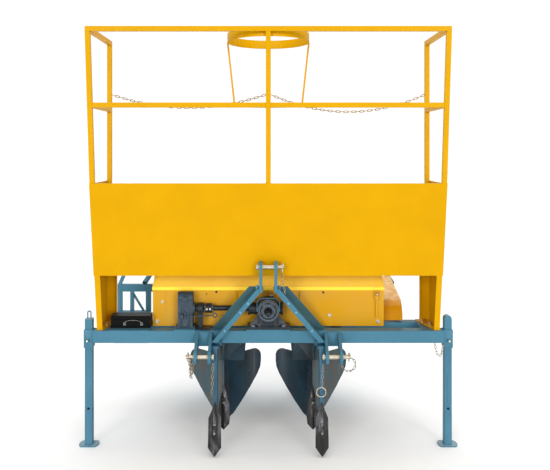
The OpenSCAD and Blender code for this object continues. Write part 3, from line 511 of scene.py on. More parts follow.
@dataclass
class Workshop:
    """Puts finished pieces into the scene and on their bodies."""

    paints: Paints
    nodes: dict[str, Piece]
    slots: dict[str, str]
    count: int = 0

    def add(self, piece: Piece, carrier: str, finish: Finish, slot: str, smooth: float = 35.0) -> Piece:
        """Finishes a new piece and lets it ride with the CAD node that carries it.

        Args:
            piece: the new object, at the origin.
            carrier: the CAD node whose body it rides on.
            finish: the finish that it is painted with.
            slot: the record's material slot; not used.
            smooth: edges under this angle in degrees are shaded smooth.

        Returns:
            The piece.
        """
        if piece.name not in bpy.context.scene.collection.objects:
            bpy.context.scene.collection.objects.link(piece)
        piece.data.materials.clear()
        piece.data.materials.append(self.paints.of(finish))
        shade_by_angle(piece.data, smooth)
        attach(piece, self.nodes[carrier]["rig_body"])
        self.count += 1
        LOG.info("%s on %s, %d faces", piece.name, carrier, len(piece.data.polygons))
        return piece

    def touch(self, node: str, start: np.ndarray, way: Axis) -> tuple[np.ndarray, np.ndarray]:
        """Finds where a straight line first meets a CAD node.

        Args:
            node: the CAD node's name.
            start: where the line starts, in metres.
            way: the line's direction.

        Returns:
            The point on the node and the surface's outward direction there.
        """
        mesh = self.nodes[node].data
        tree = BVHTree.FromPolygons(points_of(mesh).tolist(), [list(f.vertices) for f in mesh.polygons])
        place, normal, _, _ = tree.ray_cast(Vector(start), Vector(way.value))
        if place is None:
            raise ValueError(f"no surface of {node} on the line from {start}")
        return np.array(place), np.array(normal)

    def dress_node(self, node: str) -> Piece:
        """Shows a CAD node as a copy with merged faces, rounded edges and its slot's coat.

        Args:
            node: the CAD node's name.

        Returns:
            The copy that stands for it.
        """
        coat = NODE_COATS.get(node, COATS[self.slots[node]])
        mesh = self.nodes[node].data.copy()
        mesh.name = node + "_shape"
        with edited(mesh) as shape:
            bmesh.ops.remove_doubles(shape, verts=shape.verts, dist=0.00001)
            bmesh.ops.dissolve_limit(shape, angle_limit=math.radians(0.3), verts=shape.verts, edges=shape.edges)
            bmesh.ops.connect_verts_concave(shape, faces=shape.faces)
        piece = bpy.data.objects.new(node + "_finished", mesh)
        bevel = piece.modifiers.new("edge", "BEVEL")
        bevel.width = coat.edge_mm * MM
        bevel.segments = 2
        bevel.limit_method = "ANGLE"
        bevel.angle_limit = math.radians(40)
        bevel.miter_outer = "MITER_ARC"
        self.add(piece, node, coat.finish, self.slots[node])
        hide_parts(node)
        return piece


def mesh_object(name: str, points: np.ndarray, faces: np.ndarray) -> Piece:
    """Makes an object from an array of points and an array of four-cornered faces.

    Args:
        name: the piece's name.
        points: one row of x, y, z per point, in metres.
        faces: one row of four point numbers per face.

    Returns:
        The object, at the origin.
    """
    mesh = bpy.data.meshes.new(name)
    mesh.from_pydata(points.reshape(-1, 3), [], faces.tolist())
    mesh.validate()
    mesh.update()
    return bpy.data.objects.new(name, mesh)


def grid_faces(rows: int, columns: int, close_rows: bool, close_columns: bool) -> np.ndarray:
    """Numbers the faces of a grid of points.

    Face (i, j) joins points (i, j), (i, j + 1), (i + 1, j + 1) and (i + 1, j), with
    the last row or column joined to the first where the grid is closed.

    Args:
        rows: number of rows of points.
        columns: number of points in a row.
        close_rows: whether the last row joins the first.
        close_columns: whether each row is a closed loop.

    Returns:
        One row of four point numbers per face.
    """
    i = np.arange(rows if close_rows else rows - 1)
    j = np.arange(columns if close_columns else columns - 1)
    a, b = np.meshgrid(i, j, indexing="ij")
    a2, b2 = (a + 1) % rows, (b + 1) % columns
    return np.stack([a * columns + b, a * columns + b2, a2 * columns + b2, a2 * columns + b], -1).reshape(-1, 4)


def skin(name: str, grid: np.ndarray, ring: bool = False) -> Piece:
    """Makes a closed skin over a grid of points whose rows are loops.

    Args:
        name: the piece's name.
        grid: rows by points by x, y, z, in metres.
        ring: whether the last row joins the first.

    Returns:
        The piece.
    """
    piece = mesh_object(name, grid, grid_faces(grid.shape[0], grid.shape[1], ring, True))
    merge_close(piece.data)
    return piece


def frames_along(path: np.ndarray, closed: bool) -> tuple[np.ndarray, np.ndarray]:
    """Gives two directions across a path at each of its points.

    The tangent is the difference of a point's neighbours. The first direction is a
    fixed reference made square to the tangent, and the second is their cross product.

    Args:
        path: points along the path.
        closed: whether the path is a loop.

    Returns:
        The two unit directions at each point.
    """
    if closed:
        tangent = np.roll(path, -1, 0) - np.roll(path, 1, 0)
    else:
        tangent = np.gradient(path, axis=0)
    tangent /= np.linalg.norm(tangent, axis=1, keepdims=True)
    spread = np.linalg.svd(path - path.mean(0), full_matrices=True)[2][2]
    reference = np.broadcast_to(spread, tangent.shape)
    side = np.cross(reference, tangent)
    side /= np.maximum(np.linalg.norm(side, axis=1, keepdims=True), 1e-9)
    return side, np.cross(tangent, side)


def tube(name: str, path: np.ndarray, radius: float | np.ndarray, sides: int = 12,
         closed: bool = False) -> Piece:
    """Sweeps a circle along a path.

    A point is the path's point, plus radius times the cosine of the angle along the
    first cross direction and the sine along the second. Open ends shrink to a pole.

    Args:
        name: the piece's name.
        path: points along the centre line, in metres.
        radius: the tube's radius in metres, one number or one at each point.
        sides: points round the circle.
        closed: whether the path is a loop.

    Returns:
        The tube.
    """
    path = np.asarray(path, float)
    side, other = frames_along(path, closed)
    angle = np.linspace(0, 2 * np.pi, sides, endpoint=False)
    width = np.broadcast_to(radius, len(path))[:, None, None]
    ring = (side[:, None] * np.cos(angle)[None, :, None] + other[:, None] * np.sin(angle)[None, :, None]) * width
    points = path[:, None] + ring
    if not closed:
        points = np.concatenate([np.repeat(path[:1, None], sides, 1), points, np.repeat(path[-1:, None], sides, 1)])
    return skin(name, points, closed)


def straight_tube(name: str, path: np.ndarray, radius: np.ndarray, axis: np.ndarray, sides: int) -> Piece:
    """Sweeps circles along a path, each square to one axis.

    A point is the path's point, plus the radius times the cosine and sine of the
    angle along two directions across the axis.

    Args:
        name: the piece's name.
        path: points along the centre line.
        radius: the radius at each point.
        axis: the axis, of any length.
        sides: points round a circle.

    Returns:
        The tube, closed at both ends.
    """
    axis = axis / np.linalg.norm(axis)
    first = np.cross(axis, (0.0, 0.0, 1.0) if abs(axis[2]) < 0.9 else (1.0, 0.0, 0.0))
    first /= np.linalg.norm(first)
    angle = np.linspace(0, 2 * np.pi, sides, endpoint=False)
    ring = np.cos(angle)[:, None] * first + np.sin(angle)[:, None] * np.cross(axis, first)
    width = np.concatenate([[0], radius, [0]])
    centres = np.vstack([path[:1], path, path[-1:]])
    return skin(name, centres[:, None] + ring[None] * width[:, None, None])


def rounded_square(count: int, power: float, start: float = 0.0) -> np.ndarray:
    """Points of a square with rounded corners, two units wide.

    A point at angle a lies at cos(a) and sin(a), each raised to the power with its sign kept.

    Args:
        count: number of points.
        power: the smaller, the tighter the corners.
        start: angle of the first point, in radians.

    Returns:
        One row of x and y per point.
    """
    a = np.linspace(0, 2 * np.pi, count, endpoint=False) + start
    wave = np.stack([np.cos(a), np.sin(a)], 1)
    return np.sign(wave) * np.abs(wave) ** power


def turned(name: str, profile: np.ndarray, centre: np.ndarray, axis: np.ndarray, sides: int = 24) -> Piece:
    """Turns a profile about an axis.

    Args:
        name: the piece's name.
        profile: rows of radius and height, in metres.
        centre: the point where height is zero.
        axis: the axis, a unit vector.
        sides: points round the axis, six for a hexagon.

    Returns:
        The turned piece, closed at both ends.
    """
    axis = np.asarray(axis, float)
    return straight_tube(name, np.asarray(centre) + profile[:, 1:] * axis, profile[:, 0], axis, sides)


def merge_close(mesh: bpy.types.Mesh) -> None:
    """Merges points that coincide, drops what collapses and turns the faces outwards.

    Args:
        mesh: the mesh to clean.
    """
    with edited(mesh) as shape:
        bmesh.ops.remove_doubles(shape, verts=shape.verts, dist=1e-7)
        bmesh.ops.dissolve_degenerate(shape, edges=shape.edges, dist=1e-8)
        bmesh.ops.recalc_face_normals(shape, faces=shape.faces)


def joined(name: str, pieces: list[Piece]) -> Piece:
    """Joins pieces into one mesh object.

    Args:
        name: the joined piece's name.
        pieces: the pieces, which are removed.

    Returns:
        The joined piece.
    """
    mesh = bpy.data.meshes.new(name)
    with edited(mesh) as shape:
        for piece in pieces:
            shape.from_mesh(piece.data)
            bpy.data.objects.remove(piece)
    return bpy.data.objects.new(name, mesh)


def hex_bolt(place: np.ndarray, axis: Axis | np.ndarray, size: float, washer: float = 0.0) -> list[Piece]:
    """Makes a hexagon bolt head, with a washer under it if asked.

    Args:
        place: the point on the surface under the head, in metres.
        axis: the way the head points, one of the six or any unit vector.
        size: the thread's diameter in metres.
        washer: the washer's diameter in metres, or none.

    Returns:
        The head and the washer.
    """
    normal = np.array(axis.value if isinstance(axis, Axis) else axis)
    start = np.array(place)
    pieces = []
    if washer:
        edge = washer / 2
        pieces.append(turned("washer", np.array([[edge - 0.0004, -0.0003], [edge, 0.0002], [edge, 0.0016],
                                                 [edge - 0.0004, 0.002]]), start, normal, 24))
        start = start + normal * 0.002
    r = size * 0.95
    pieces.append(turned("head", np.array([[r, -0.0003], [r, size * 0.55], [r * 0.86, size * 0.65]]), start, normal, 6))
    return pieces


def link_loop(half_length: float, radius: float, wire: float, steps: int = 12, sides: int = 6) -> np.ndarray:
    """Points of one chain link lying in the XY plane, its length along X.

    The centre line is two half circles of the given radius joined by straight
    stretches, and the wire's circle is carried round it.

    Args:
        half_length: distance from the link's middle to the half circles' centres.
        radius: radius of the half circles, to the wire's centre.
        wire: radius of the wire.
        steps: points round the centre line.
        sides: points round the wire.

    Returns:
        An array of steps by sides points.
    """
    half = steps // 2
    bend = np.concatenate([np.linspace(-np.pi / 2, np.pi / 2, half), np.linspace(np.pi / 2, 3 * np.pi / 2, half)])
    ahead = np.repeat([half_length, -half_length], half)
    outward = np.stack([np.cos(bend), np.sin(bend), np.zeros(steps)], 1)
    centre = outward * radius + np.stack([ahead, np.zeros(steps), np.zeros(steps)], 1)
    angle = np.linspace(0, 2 * np.pi, sides, endpoint=False)
    across = outward[:, None] * np.cos(angle)[None, :, None] * wire
    up = np.array([0, 0, 1.0])[None, None] * np.sin(angle)[None, :, None] * wire
    return centre[:, None] + across + up


def chain(name: str, path: np.ndarray, pitch: float, width: float, wire: float) -> Piece:
    """Lays chain links along a path, each turned a quarter turn from the last.

    The path is cut into equal lengths of one pitch. Each link's X axis is the path's
    direction there, and its Y axis is level or upright in turn.

    Args:
        name: the piece's name.
        path: points along the chain, in metres.
        pitch: the link's inside length.
        width: the link's inside width.
        wire: the wire's diameter.

    Returns:
        The chain as one mesh.
    """
    step = np.linalg.norm(np.diff(path, axis=0), axis=1)
    along = np.concatenate([[0], np.cumsum(step)])
    links = max(2, int(round(along[-1] / pitch)))
    middle = (np.arange(links) + 0.5) * along[-1] / links
    ends = [np.stack([np.interp(middle + s * pitch / 2, along, path[:, k]) for k in range(3)], 1) for s in (-1, 1)]
    centre = (ends[0] + ends[1]) / 2
    ahead = ends[1] - ends[0]
    ahead /= np.linalg.norm(ahead, axis=1, keepdims=True)
    reference = np.where(np.abs(ahead[:, 1:2]) < 0.9, [[0, 1.0, 0]], [[1.0, 0, 0]])
    upright = np.cross(ahead, reference)
    upright /= np.linalg.norm(upright, axis=1, keepdims=True)
    level = np.cross(upright, ahead)
    odd = (np.arange(links) % 2 == 1)[:, None]
    y_axis, z_axis = np.where(odd, upright, level), np.where(odd, level, upright)
    loop = link_loop((pitch - width) / 2, (width + wire) / 2, wire / 2)
    shape = loop.reshape(-1, 3)
    points = (centre[:, None] + shape[None, :, 0:1] * ahead[:, None] + shape[None, :, 1:2] * y_axis[:, None]
              + shape[None, :, 2:3] * z_axis[:, None])
    one = grid_faces(loop.shape[0], loop.shape[1], True, True)
    faces = (one[None] + np.arange(links)[:, None, None] * len(shape)).reshape(-1, 4)
    piece = mesh_object(name, points, faces)
    merge_close(piece.data)
    return piece


def hanging(a: np.ndarray, b: np.ndarray, sag: float, count: int = 120) -> np.ndarray:
    """Points along a chain that hangs between two points.

    The height is the straight line's, less four times the sag times t times one
    minus t, where t runs from 0 to 1 along the span.

    Args:
        a: first end.
        b: second end.
        sag: drop at the middle.
        count: number of points.

    Returns:
        The points, in metres.
    """
    t = np.linspace(0, 1, count)[:, None]
    return np.asarray(a) * (1 - t) + np.asarray(b) * t - np.array([0, 0, 1.0]) * 4 * sag * t * (1 - t)


def arc(centre: tuple[float, float], radius: float, start: float, end: float,
        count: int = 24) -> list[tuple[float, float]]:
    """Points of an arc in a plane, from one angle to another in degrees."""
    angle = np.radians(np.linspace(start, end, count))
    return [(centre[0] + radius * c, centre[1] + radius * s) for c, s in zip(np.cos(angle), np.sin(angle))]


def box_piece(name: str, low: np.ndarray, high: np.ndarray, edge: float = 0.0008) -> Piece:
    """Makes a sheet-metal block with rounded edges.

    Args:
        name: the piece's name.
        low: its lowest corner.
        high: its highest corner.
        edge: how far its edges are rounded.

    Returns:
        The block.
    """
    mesh = bpy.data.meshes.new(name)
    size, middle = np.asarray(high) - low, (np.asarray(high) + low) / 2
    with edited(mesh) as shape:
        bmesh.ops.create_cube(shape, size=1.0)
        for vert in shape.verts:
            vert.co = Vector(middle + size * np.array(vert.co))
        bmesh.ops.bevel(shape, geom=shape.edges, offset=min(edge, float(size.min()) * 0.3), segments=2, affect="EDGES")
    return bpy.data.objects.new(name, mesh)


def plate(name: str, outline: list[tuple[float, float]], origin: np.ndarray, across: Axis, up: Axis,
          thickness: float, edge: float = 0.0006) -> Piece:
    """Makes a flat plate of any outline.

    Args:
        name: the piece's name.
        outline: corners, in metres along the two directions.
        origin: where the outline's zero lies.
        across: the outline's first direction.
        up: the outline's second direction.
        thickness: thickness along the cross product of the two, half to each side.
        edge: how far its edges are rounded.

    Returns:
        The plate.
    """
    a, b = np.array(across.value), np.array(up.value)
    normal = np.cross(a, b)
    mesh = bpy.data.meshes.new(name)
    with edited(mesh) as shape:
        face = shape.faces.new([shape.verts.new(Vector(origin + a * p[0] + b * p[1] - normal * thickness / 2))
                                for p in outline])
        out = bmesh.ops.extrude_face_region(shape, geom=[face])
        moved = [v for v in out["geom"] if isinstance(v, bmesh.types.BMVert)]
        bmesh.ops.translate(shape, verts=moved, vec=Vector(normal * thickness))
        bmesh.ops.recalc_face_normals(shape, faces=shape.faces)
        sharp = [e for e in shape.edges if len(e.link_faces) == 2 and e.calc_face_angle() > 0.7]
        bmesh.ops.bevel(shape, geom=sharp, offset=edge, segments=2, affect="EDGES")
    return bpy.data.objects.new(name, mesh)


def weld(name: str, start: np.ndarray, end: np.ndarray, radius: float = 0.0035) -> Piece:
    """Lays a weld bead along a line.

    The radius along the bead is the given one times one plus 0.16 times the sine of
    the length over a 4 mm ripple, so that the bead has the scales of a hand weld.

    Args:
        name: the bead's name.
        start: where it starts.
        end: where it ends.
        radius: its radius in metres.

    Returns:
        The bead.
    """
    length = float(np.linalg.norm(end - start))
    count = max(8, int(length / 0.0012))
    t = np.linspace(0, 1, count)
    path = start + (end - start) * t[:, None]
    ripple = radius * (1 + 0.16 * np.sin(t * length / 0.004 * 2 * np.pi / 1.6))
    wander = 0.0004 * np.sin(t * length / 0.019) + 0.0002 * np.sin(t * length / 0.007 + 1)
    path[:, int(np.argmin(np.abs(end - start)))] += wander
    return straight_tube(name, path, ripple, path[-1] - path[0], 8)


@dataclass
class Fittings:
    """What every group of fittings works with, and its short calls in millimetres.

    A place is x from the middle, y behind the front beam's face and z above the ground.
    """

    shop: Workshop
    face: float

    def at(self, x: float, y: float, z: float) -> np.ndarray:
        """Turns a place in millimetres into a point of the frame, in metres."""
        return np.array([x * MM, self.face + y * MM, z * MM])

    def line(self, places: list[Place]) -> np.ndarray:
        """Turns places in millimetres into points of the frame, in metres."""
        return np.array([self.at(*p) for p in places])

    def box_mm(self, node: str) -> tuple[Vector, Vector]:
        """Gives the lowest and highest corner of a CAD node in millimetres."""
        low, high = ((corner - Vector((0, self.face, 0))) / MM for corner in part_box(node))
        return low, high

    def bolt(self, place: Place, axis: Axis, size: float, washer: float = 0) -> list[Piece]:
        """Sets a bolt head, and a washer if asked, on a place."""
        return hex_bolt(self.at(*place), axis, size * MM, washer * MM)

    def bead(self, start: Place, end: Place, radius: float = 3.5) -> Piece:
        """Lays a weld bead between two places."""
        return weld("bead", self.at(*start), self.at(*end), radius * MM)

    def wire(self, places: list[Place], radius: float, sides: int = 12, ring: bool = False) -> Piece:
        """Bends a wire along places, open or as a ring."""
        return tube("wire", self.line(places), radius * MM, sides, ring)

    def dome(self, profile: list, place: Place, axis: Axis = Axis.FRONT, sides: int = 24) -> Piece:
        """Turns a profile of radius and height, both in millimetres, at a place."""
        return turned("dome", np.array(profile) * MM, self.at(*place), axis.value, sides)

    def block(self, low: Place, high: Place, edge: float = 0.8) -> Piece:
        """Makes a sheet-metal block between two places."""
        return box_piece("block", self.at(*low), self.at(*high), edge * MM)

    def put(self, name: str, pieces: list[Piece], node: str, finish: Finish, slot: str,
            smooth: float = 30) -> Piece:
        """Joins pieces, finishes them and lets them ride with a CAD node."""
        return self.shop.add(joined(name, pieces), node, finish, slot, smooth)


@dataclass
class SafetyChains(Fittings):
    """The two chains across the back of the cane cage, with round links in place of the CAD model's flat-sided ones."""

    wire_mm: float = 5.0
    pitch_mm: float = 28.8
    width_mm: float = 8.0
    post_mm: float = 16.0
    hook_mm: float = 4.0
    less_sag_mm: float = 30.0

    def build(self) -> None:
        """Hangs both chains, the left one less deep."""
        low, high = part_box("safety_chains")
        middle = (low.y + high.y) / 2
        inner = (self.post_mm + self.hook_mm) * MM
        outer = (self.width_mm / 2 + self.wire_mm) * MM
        top = high.z - outer + 0.001
        deep = top - (low.z + outer)
        sides = []
        for x0, x1, sag in ((low.x, -inner, deep - self.less_sag_mm * MM), (inner, high.x, deep)):
            path = hanging((x0, middle, top), (x1, middle, top), sag)
            sides.append(chain("side", path, self.pitch_mm * MM, self.width_mm * MM, self.wire_mm * MM))
        links = self.put("safety_chain_links", sides, "safety_chains", CHAIN_ENAMEL, "yellow", 60)
        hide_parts("safety_chains")


@dataclass
class HitchFittings(Fittings):
    """Linch pins and their retaining chains on the three hitch pins."""

    wire_mm: float = 4.2
    pitch_mm: float = 24.0
    width_mm: float = 8.0
    ring_mm: float = 38.0
    pin_end_mm: float = 13.0
    spare_ring_mm: Place = (349, 428, 31)  # x, z, radius
    loop_mm: Place = (533, -48, 46)  # x, z from the pin, radius
    # x and z from the pin at the upper and the lower end of the two hanging chains, and y from the pin
    straight_mm: Table = ((-366, -34, -372, -255, -28, -26), (362, -40, 352, -200, -30, -30))
    # x at both ends and the sag of the left chain's turns, bundled on its pin
    bundle_mm: Table = ((-524, -500, 130), (-516, -494, 100), (-522, -506, 70))

    def links(self, path: np.ndarray) -> Piece:
        """Lays this chain's links along a path."""
        return chain("links", path, self.pitch_mm * MM, self.width_mm * MM, self.wire_mm * MM)

    def hung(self, start: Place, end: Place, sag: float) -> Piece:
        """Hangs a chain between two places, with its sag in millimetres."""
        return self.links(hanging(self.at(*start), self.at(*end), sag * MM))

    def linch_pin(self, place: np.ndarray, drop: float = 0.0) -> list[Piece]:
        """Makes a linch pin: an upright shank with a wire ring that folds over the pin.

        The ring's point at angle a lies its radius times one plus cos(a) below the
        shank's head, tilted by the drop, and its radius times sin(a) to the side.

        Args:
            place: where the shank crosses the hitch pin's axis.
            drop: how far the ring has swung down, in degrees.

        Returns:
            Its shank and its ring.
        """
        shank = np.array([place + [0, 0, z] for z in np.linspace(-0.03, 0.028, 6)])
        r, tilt = self.ring_mm * MM / 2, math.radians(drop)
        angle = np.linspace(0, 2 * np.pi, 28, endpoint=False)
        reach = r * (1 + np.cos(angle))
        loop = place + np.stack([reach * math.sin(tilt) + 0.004, r * np.sin(angle), 0.026 - reach * math.cos(tilt)], 1)
        return [tube("shank", shank, 0.0055), tube("ring", loop, 0.0024, 8, True)]

    def build(self) -> None:
        """Adds the linch pins, the spare ring and the chains."""
        low, high = self.box_mm("lower_hitch_pins")
        top_low, top_high = self.box_mm("top_link_pin")
        z, top_z, y = (low.z + high.z) / 2, (top_low.z + top_high.z) / 2, (low.y + high.y) / 2
        pins = self.linch_pin(self.at(self.pin_end_mm - high.x, y, z))
        pins += self.linch_pin(self.at(high.x - self.pin_end_mm, y, z), 8)
        pins += self.linch_pin(self.at(top_high.x - 12, y, top_z), 4)
        x0, z0, radius = self.spare_ring_mm
        pins.append(self.wire([(px, y - 30, pz) for px, pz in arc((x0, z0), radius, 90, 450, 40)[:-1]], 3.2, 10, True))
        self.put("linch_pins", pins, "lower_hitch_pins", ZINC_PLATE, "zinc", 50)
        chains = [self.hung((83, y - 14, top_z - 22), (112, y - 12, top_z - 178), 12)]
        chains += [self.hung((xa, y + ya, z + za), (xb, y + yb, z + zb), 2)
                   for xa, za, xb, zb, ya, yb in self.straight_mm]
        x0, z0, radius = self.loop_mm
        chains.append(self.links(self.line([(px, y - 4, pz) for px, pz in arc((x0, z + z0), radius, 75, -195, 40)])))
        chains += [self.hung((a, y - 8 - 6 * k, z - 4), (b, y - 14 - 5 * k, z - 14), sag)
                   for k, (a, b, sag) in enumerate(self.bundle_mm)]
        self.put("linch_pin_chains", chains, "lower_hitch_pins", CHAIN_ZINC, "zinc", 60)


@dataclass
class StandFittings(Fittings):
    """Locking pins of the parking stands, the right one's chain, and the welds of the sleeves and the feet."""

    pin_mm: float = 16.0
    pin_rise_mm: float = 52.0
    sleeve_mm: float = 65.0
    leg_mm: float = 51.0
    leg_y_mm: float = 41.5
    foot_mm: float = 9.0

    def build(self) -> None:
        """Adds pins, chain and beads."""
        low = self.box_mm("stand_sleeves")[0]
        leg_low, leg_high = self.box_mm("stand_leg_left")
        beam_low, beam_high = self.box_mm("front_beam")
        middle, pin_z, r = -(leg_low.x + leg_high.x) / 2, low.z + self.pin_rise_mm, self.pin_mm / 2
        profile = [[r, -2], [r, 12], [r * 0.8, 14.5], [r * 0.3, 15.5]]
        pins = [self.dome(profile, (side * middle, low.y, pin_z), sides=20) for side in SIDES]
        self.put("stand_pins", pins, "stand_sleeves", ZINC_PLATE, "zinc", 40)
        path = hanging(self.at(1141, 30, beam_low.z - 1), self.at(1196, 6, pin_z - 30), 0.088)
        links = chain("links", path, 0.021, 0.007, 0.004)
        self.put("stand_pin_chain", [links], "stand_sleeves", CHAIN_ZINC, "zinc", 60)
        beads = []
        for side in SIDES:
            x = side * (middle - self.sleeve_mm / 2)
            beads += [self.bead((x, y, beam_low.z + 2), (x, y, beam_high.z), 4) for y in (10.5, 72.5)]
            beads.append(self.bead((x, 10, beam_high.z), (x, 72, beam_high.z), 4))
        self.put("sleeve_welds", beads, "stand_sleeves", BLUE_ENAMEL, "blue", 60)
        half = self.leg_mm / 2
        for node, side in zip(("stand_leg_left", "stand_leg_right"), SIDES):
            x, y, z = side * middle, self.leg_y_mm, self.foot_mm
            foot = [self.bead((x - 25, y + s, z), (x + 25, y + s, z)) for s in (-half, half)]
            foot += [self.bead((x + s, y - half, z), (x + s, y + half, z)) for s in (-half, half)]
            self.put(node + "_welds", foot, node, BLUE_ENAMEL, "blue", 60)


@dataclass
class FrameWelds(Fittings):
    """Weld beads of the hitch plates, the mast's feet and the cage posts."""

    cheeks_mm: tuple[float, ...] = (380.5, 400.5, 473.5, 493.5)
    posts_mm: tuple[float, ...] = (-1175, -1143, -16, 16, 1143, 1175)

    def build(self) -> None:
        """Adds the beads that show from the front and the sides."""
        beam_top = self.box_mm("front_beam")[1].z
        blue = []
        for side in SIDES:
            blue += [self.bead((side * x, -1, beam_top - 88), (side * x, -1, beam_top - 8)) for x in self.cheeks_mm]
            blue.append(self.bead((side * 402, -10, beam_top - 5), (side * 472, -10, beam_top - 5)))
            blue.append(self.bead((side * 378, -66, 736), (side * 378, -14, 736)))
        self.put("hitch_welds", blue, "hitch_brackets", BLUE_ENAMEL, "blue", 60)
        low, high = self.box_mm("hopper_front")
        z = high.z + 1
        yellow = [self.bead((x, low.y + 2, z), (x, low.y + 30, z), 2.8) for x in self.posts_mm]
        self.put("cage_welds", yellow, "cage_front_posts", YELLOW_ENAMEL, "yellow", 60)


@dataclass
class BoltWork(Fittings):
    """Hexagon bolts of the cage legs, the gearbox, the mast and the press wheels."""

    frame_mm: float = 16.0
    gearbox_mm: Table = ((-104, 17), (-104, 104), (104, 17), (104, 104))  # x, y
    leg_mm: Table = ((1135, 136), (1100, 215))  # x, y
    mast_mm: Table = ((134, 1008), (185, 946), (292, 816))  # x, z
    pivot_mm: Place = (71, -100, 1111)  # x, y, z
    wheel_mm: float = 12.0
    wheel_circle_mm: float = 45.0
    wheel_face_mm: float = 61.5

    def build(self) -> None:
        """Adds the bolt heads that show."""
        beam_top = self.box_mm("front_beam")[1].z
        heads = [part for x, y in self.gearbox_mm for part in self.bolt((x, y, beam_top + 26), Axis.UP, 15, 32)]
        self.put("gearbox_bolts", heads, "gearbox", HIGHLIGHT_PAINTED_IRON, "hammered_grey")
        legs = []
        for side in SIDES:
            for x, y in self.leg_mm:
                legs += self.bolt((side * x, y, beam_top + 15), Axis.UP, self.frame_mm)
                legs.append(self.dome([[17, -0.5], [17, 2.2]], (side * x, y, beam_top + 5), Axis.UP))
        self.put("leg_bolts", legs, "cage_legs", ZINC_PLATE, "zinc")
        mast = []
        for side, out in zip(SIDES, OUTWARDS):
            for x, z in self.mast_mm:
                mast += hex_bolt(*self.shop.touch("mast", self.at(side * x, -900, z), Axis.BACK), 0.009)
            x, y, z = self.pivot_mm
            mast += self.bolt((side * x, y, z), out, self.frame_mm, 34)
        self.put("mast_bolts", mast, "mast", FRESH_BLUE, "blue")
        for node, side, out in zip(("press_wheel_left", "press_wheel_right"), SIDES, OUTWARDS):
            low, high = self.box_mm(node)
            middle = (low + high) / 2
            ring = arc((middle.y, middle.z), self.wheel_circle_mm, 30, 330, 6)
            wheel = [part for y, z in ring
                     for part in self.bolt((middle.x + side * self.wheel_face_mm, y, z), out, self.wheel_mm, 20)]
            self.put(node + "_bolts", wheel, node, ZINC_PLATE, "zinc")


@dataclass
class DriveTrim(Fittings):
    """Small parts of the gearbox and the drive case."""

    seal_mm: float = 29.0
    rings_mm: Table = ((33, 0), (40.5, 0), (45.5, 8), (62.5, 8), (71, 20))  # radius, depth
    case_bolts_mm: tuple[float, float] = (901, 870)  # z
    link_mm: float = 8.0
    link_z_mm: float = 883.0

    def build(self) -> None:
        """Adds covers, seal, plugs, the case's bolts and the shift link."""
        face = self.box_mm("gearbox")[0].y
        shaft_low, shaft_high = self.box_mm("pto_shaft")
        z, r = (shaft_low.z + shaft_high.z) / 2, self.seal_mm
        seal = self.dome([[19.5, 0], [19.5, 3.5], [22, 5.5], [r - 2, 5.5], [r, 3], [r, 0]], (0, face, z), sides=40)
        self.put("shaft_seal", [seal], "gearbox", BLACK_RUBBER, "black_sheet", 40)
        # The rings' pale paint is a painted highlight along their ridges.
        rings = [self.wire([(px, face + y, z + pz) for px, pz in arc((0, 0), r, 0, 360, 73)[:-1]], 2.2, 10, True)
                 for r, y in self.rings_mm]
        self.put("gearbox_cover_rings", rings, "gearbox", HIGHLIGHT_PAINTED_IRON, "hammered_grey")
        plugs = self.bolt((22, 90, z + 84), Axis.UP, 17) + self.bolt((-88, 98, z - 40), Axis.LEFT, 14)
        self.put("gearbox_plugs", plugs, "gearbox", ZINC_PLATE, "zinc")
        case_low, case_high = self.box_mm("drive_case")
        x = (case_low.x + case_high.x) / 2
        heads = []
        for bolt_z in self.case_bolts_mm:
            heads += self.bolt((x + 1, 40, bolt_z), Axis.FRONT, 12, 24)
        for bolt_x in (x - 40, x + 40):
            heads += self.bolt((bolt_x, 40, z + 62), Axis.FRONT, 8) + self.bolt((bolt_x, 40, z - 30), Axis.FRONT, 8)
        heads.append(self.dome([[17, -0.5], [17, 3], [14, 5], [5, 6]], (x, 28, case_high.z - 46), sides=28))
        self.put("drive_case_bolts", heads, "drive_case", HAMMERED_IRON, "hammered_grey")
        self.shift_link()

    def shift_link(self) -> None:
        """Adds the shift link: a rod that rises to its eye as the square of its length, with its tab and nut."""
        z = self.link_z_mm
        rod = self.wire([(px, 23, z + 0.00018 * (px + 620) ** 2) for px in np.linspace(-596, -380, 24)],
                        self.link_mm / 2)
        eye = self.wire([(px, 23, pz) for px, pz in arc((-366, z + 10), 14, 0, 360, 28)[:-1]], 4.2, 10, True)
        nut = self.bolt((-596, 23, z), Axis.LEFT, 12)
        tab = plate("tab", [(-0.010, -0.014), (0.006, -0.014), (0.006, 0.014), (-0.010, 0.014)],
                    self.at(-590, 26, z), Axis.RIGHT, Axis.UP, 0.026)
        self.put("shift_link", [rod, eye, tab, *nut], "drive_case", HAMMERED_IRON, "hammered_grey", 40)


@dataclass
class CrossShaftTrim(Fittings):
    """Flange bolts and shear bolts on the cross shaft's coupling, which turn with it."""

    disc_mm: float = 32.2
    circle_mm: float = 25.0

    def build(self) -> None:
        """Adds the bolts."""
        low, high = self.box_mm("cross_shaft")
        y, z = (low.y + high.y) / 2, (low.z + high.z) / 2
        heads = []
        for dy, dz in arc((0, 0), self.circle_mm, 30, 330, 6):
            for x, axis in ((-388, Axis.RIGHT), (-436, Axis.LEFT)):
                heads += self.bolt((x, y + dy, z + dz), axis, 8)
        for x in (-424, -400):
            heads += self.bolt((x, y - self.disc_mm, z), Axis.FRONT, 9)
        self.put("coupling_bolts", heads, "cross_shaft", ZINC_PLATE, "zinc")


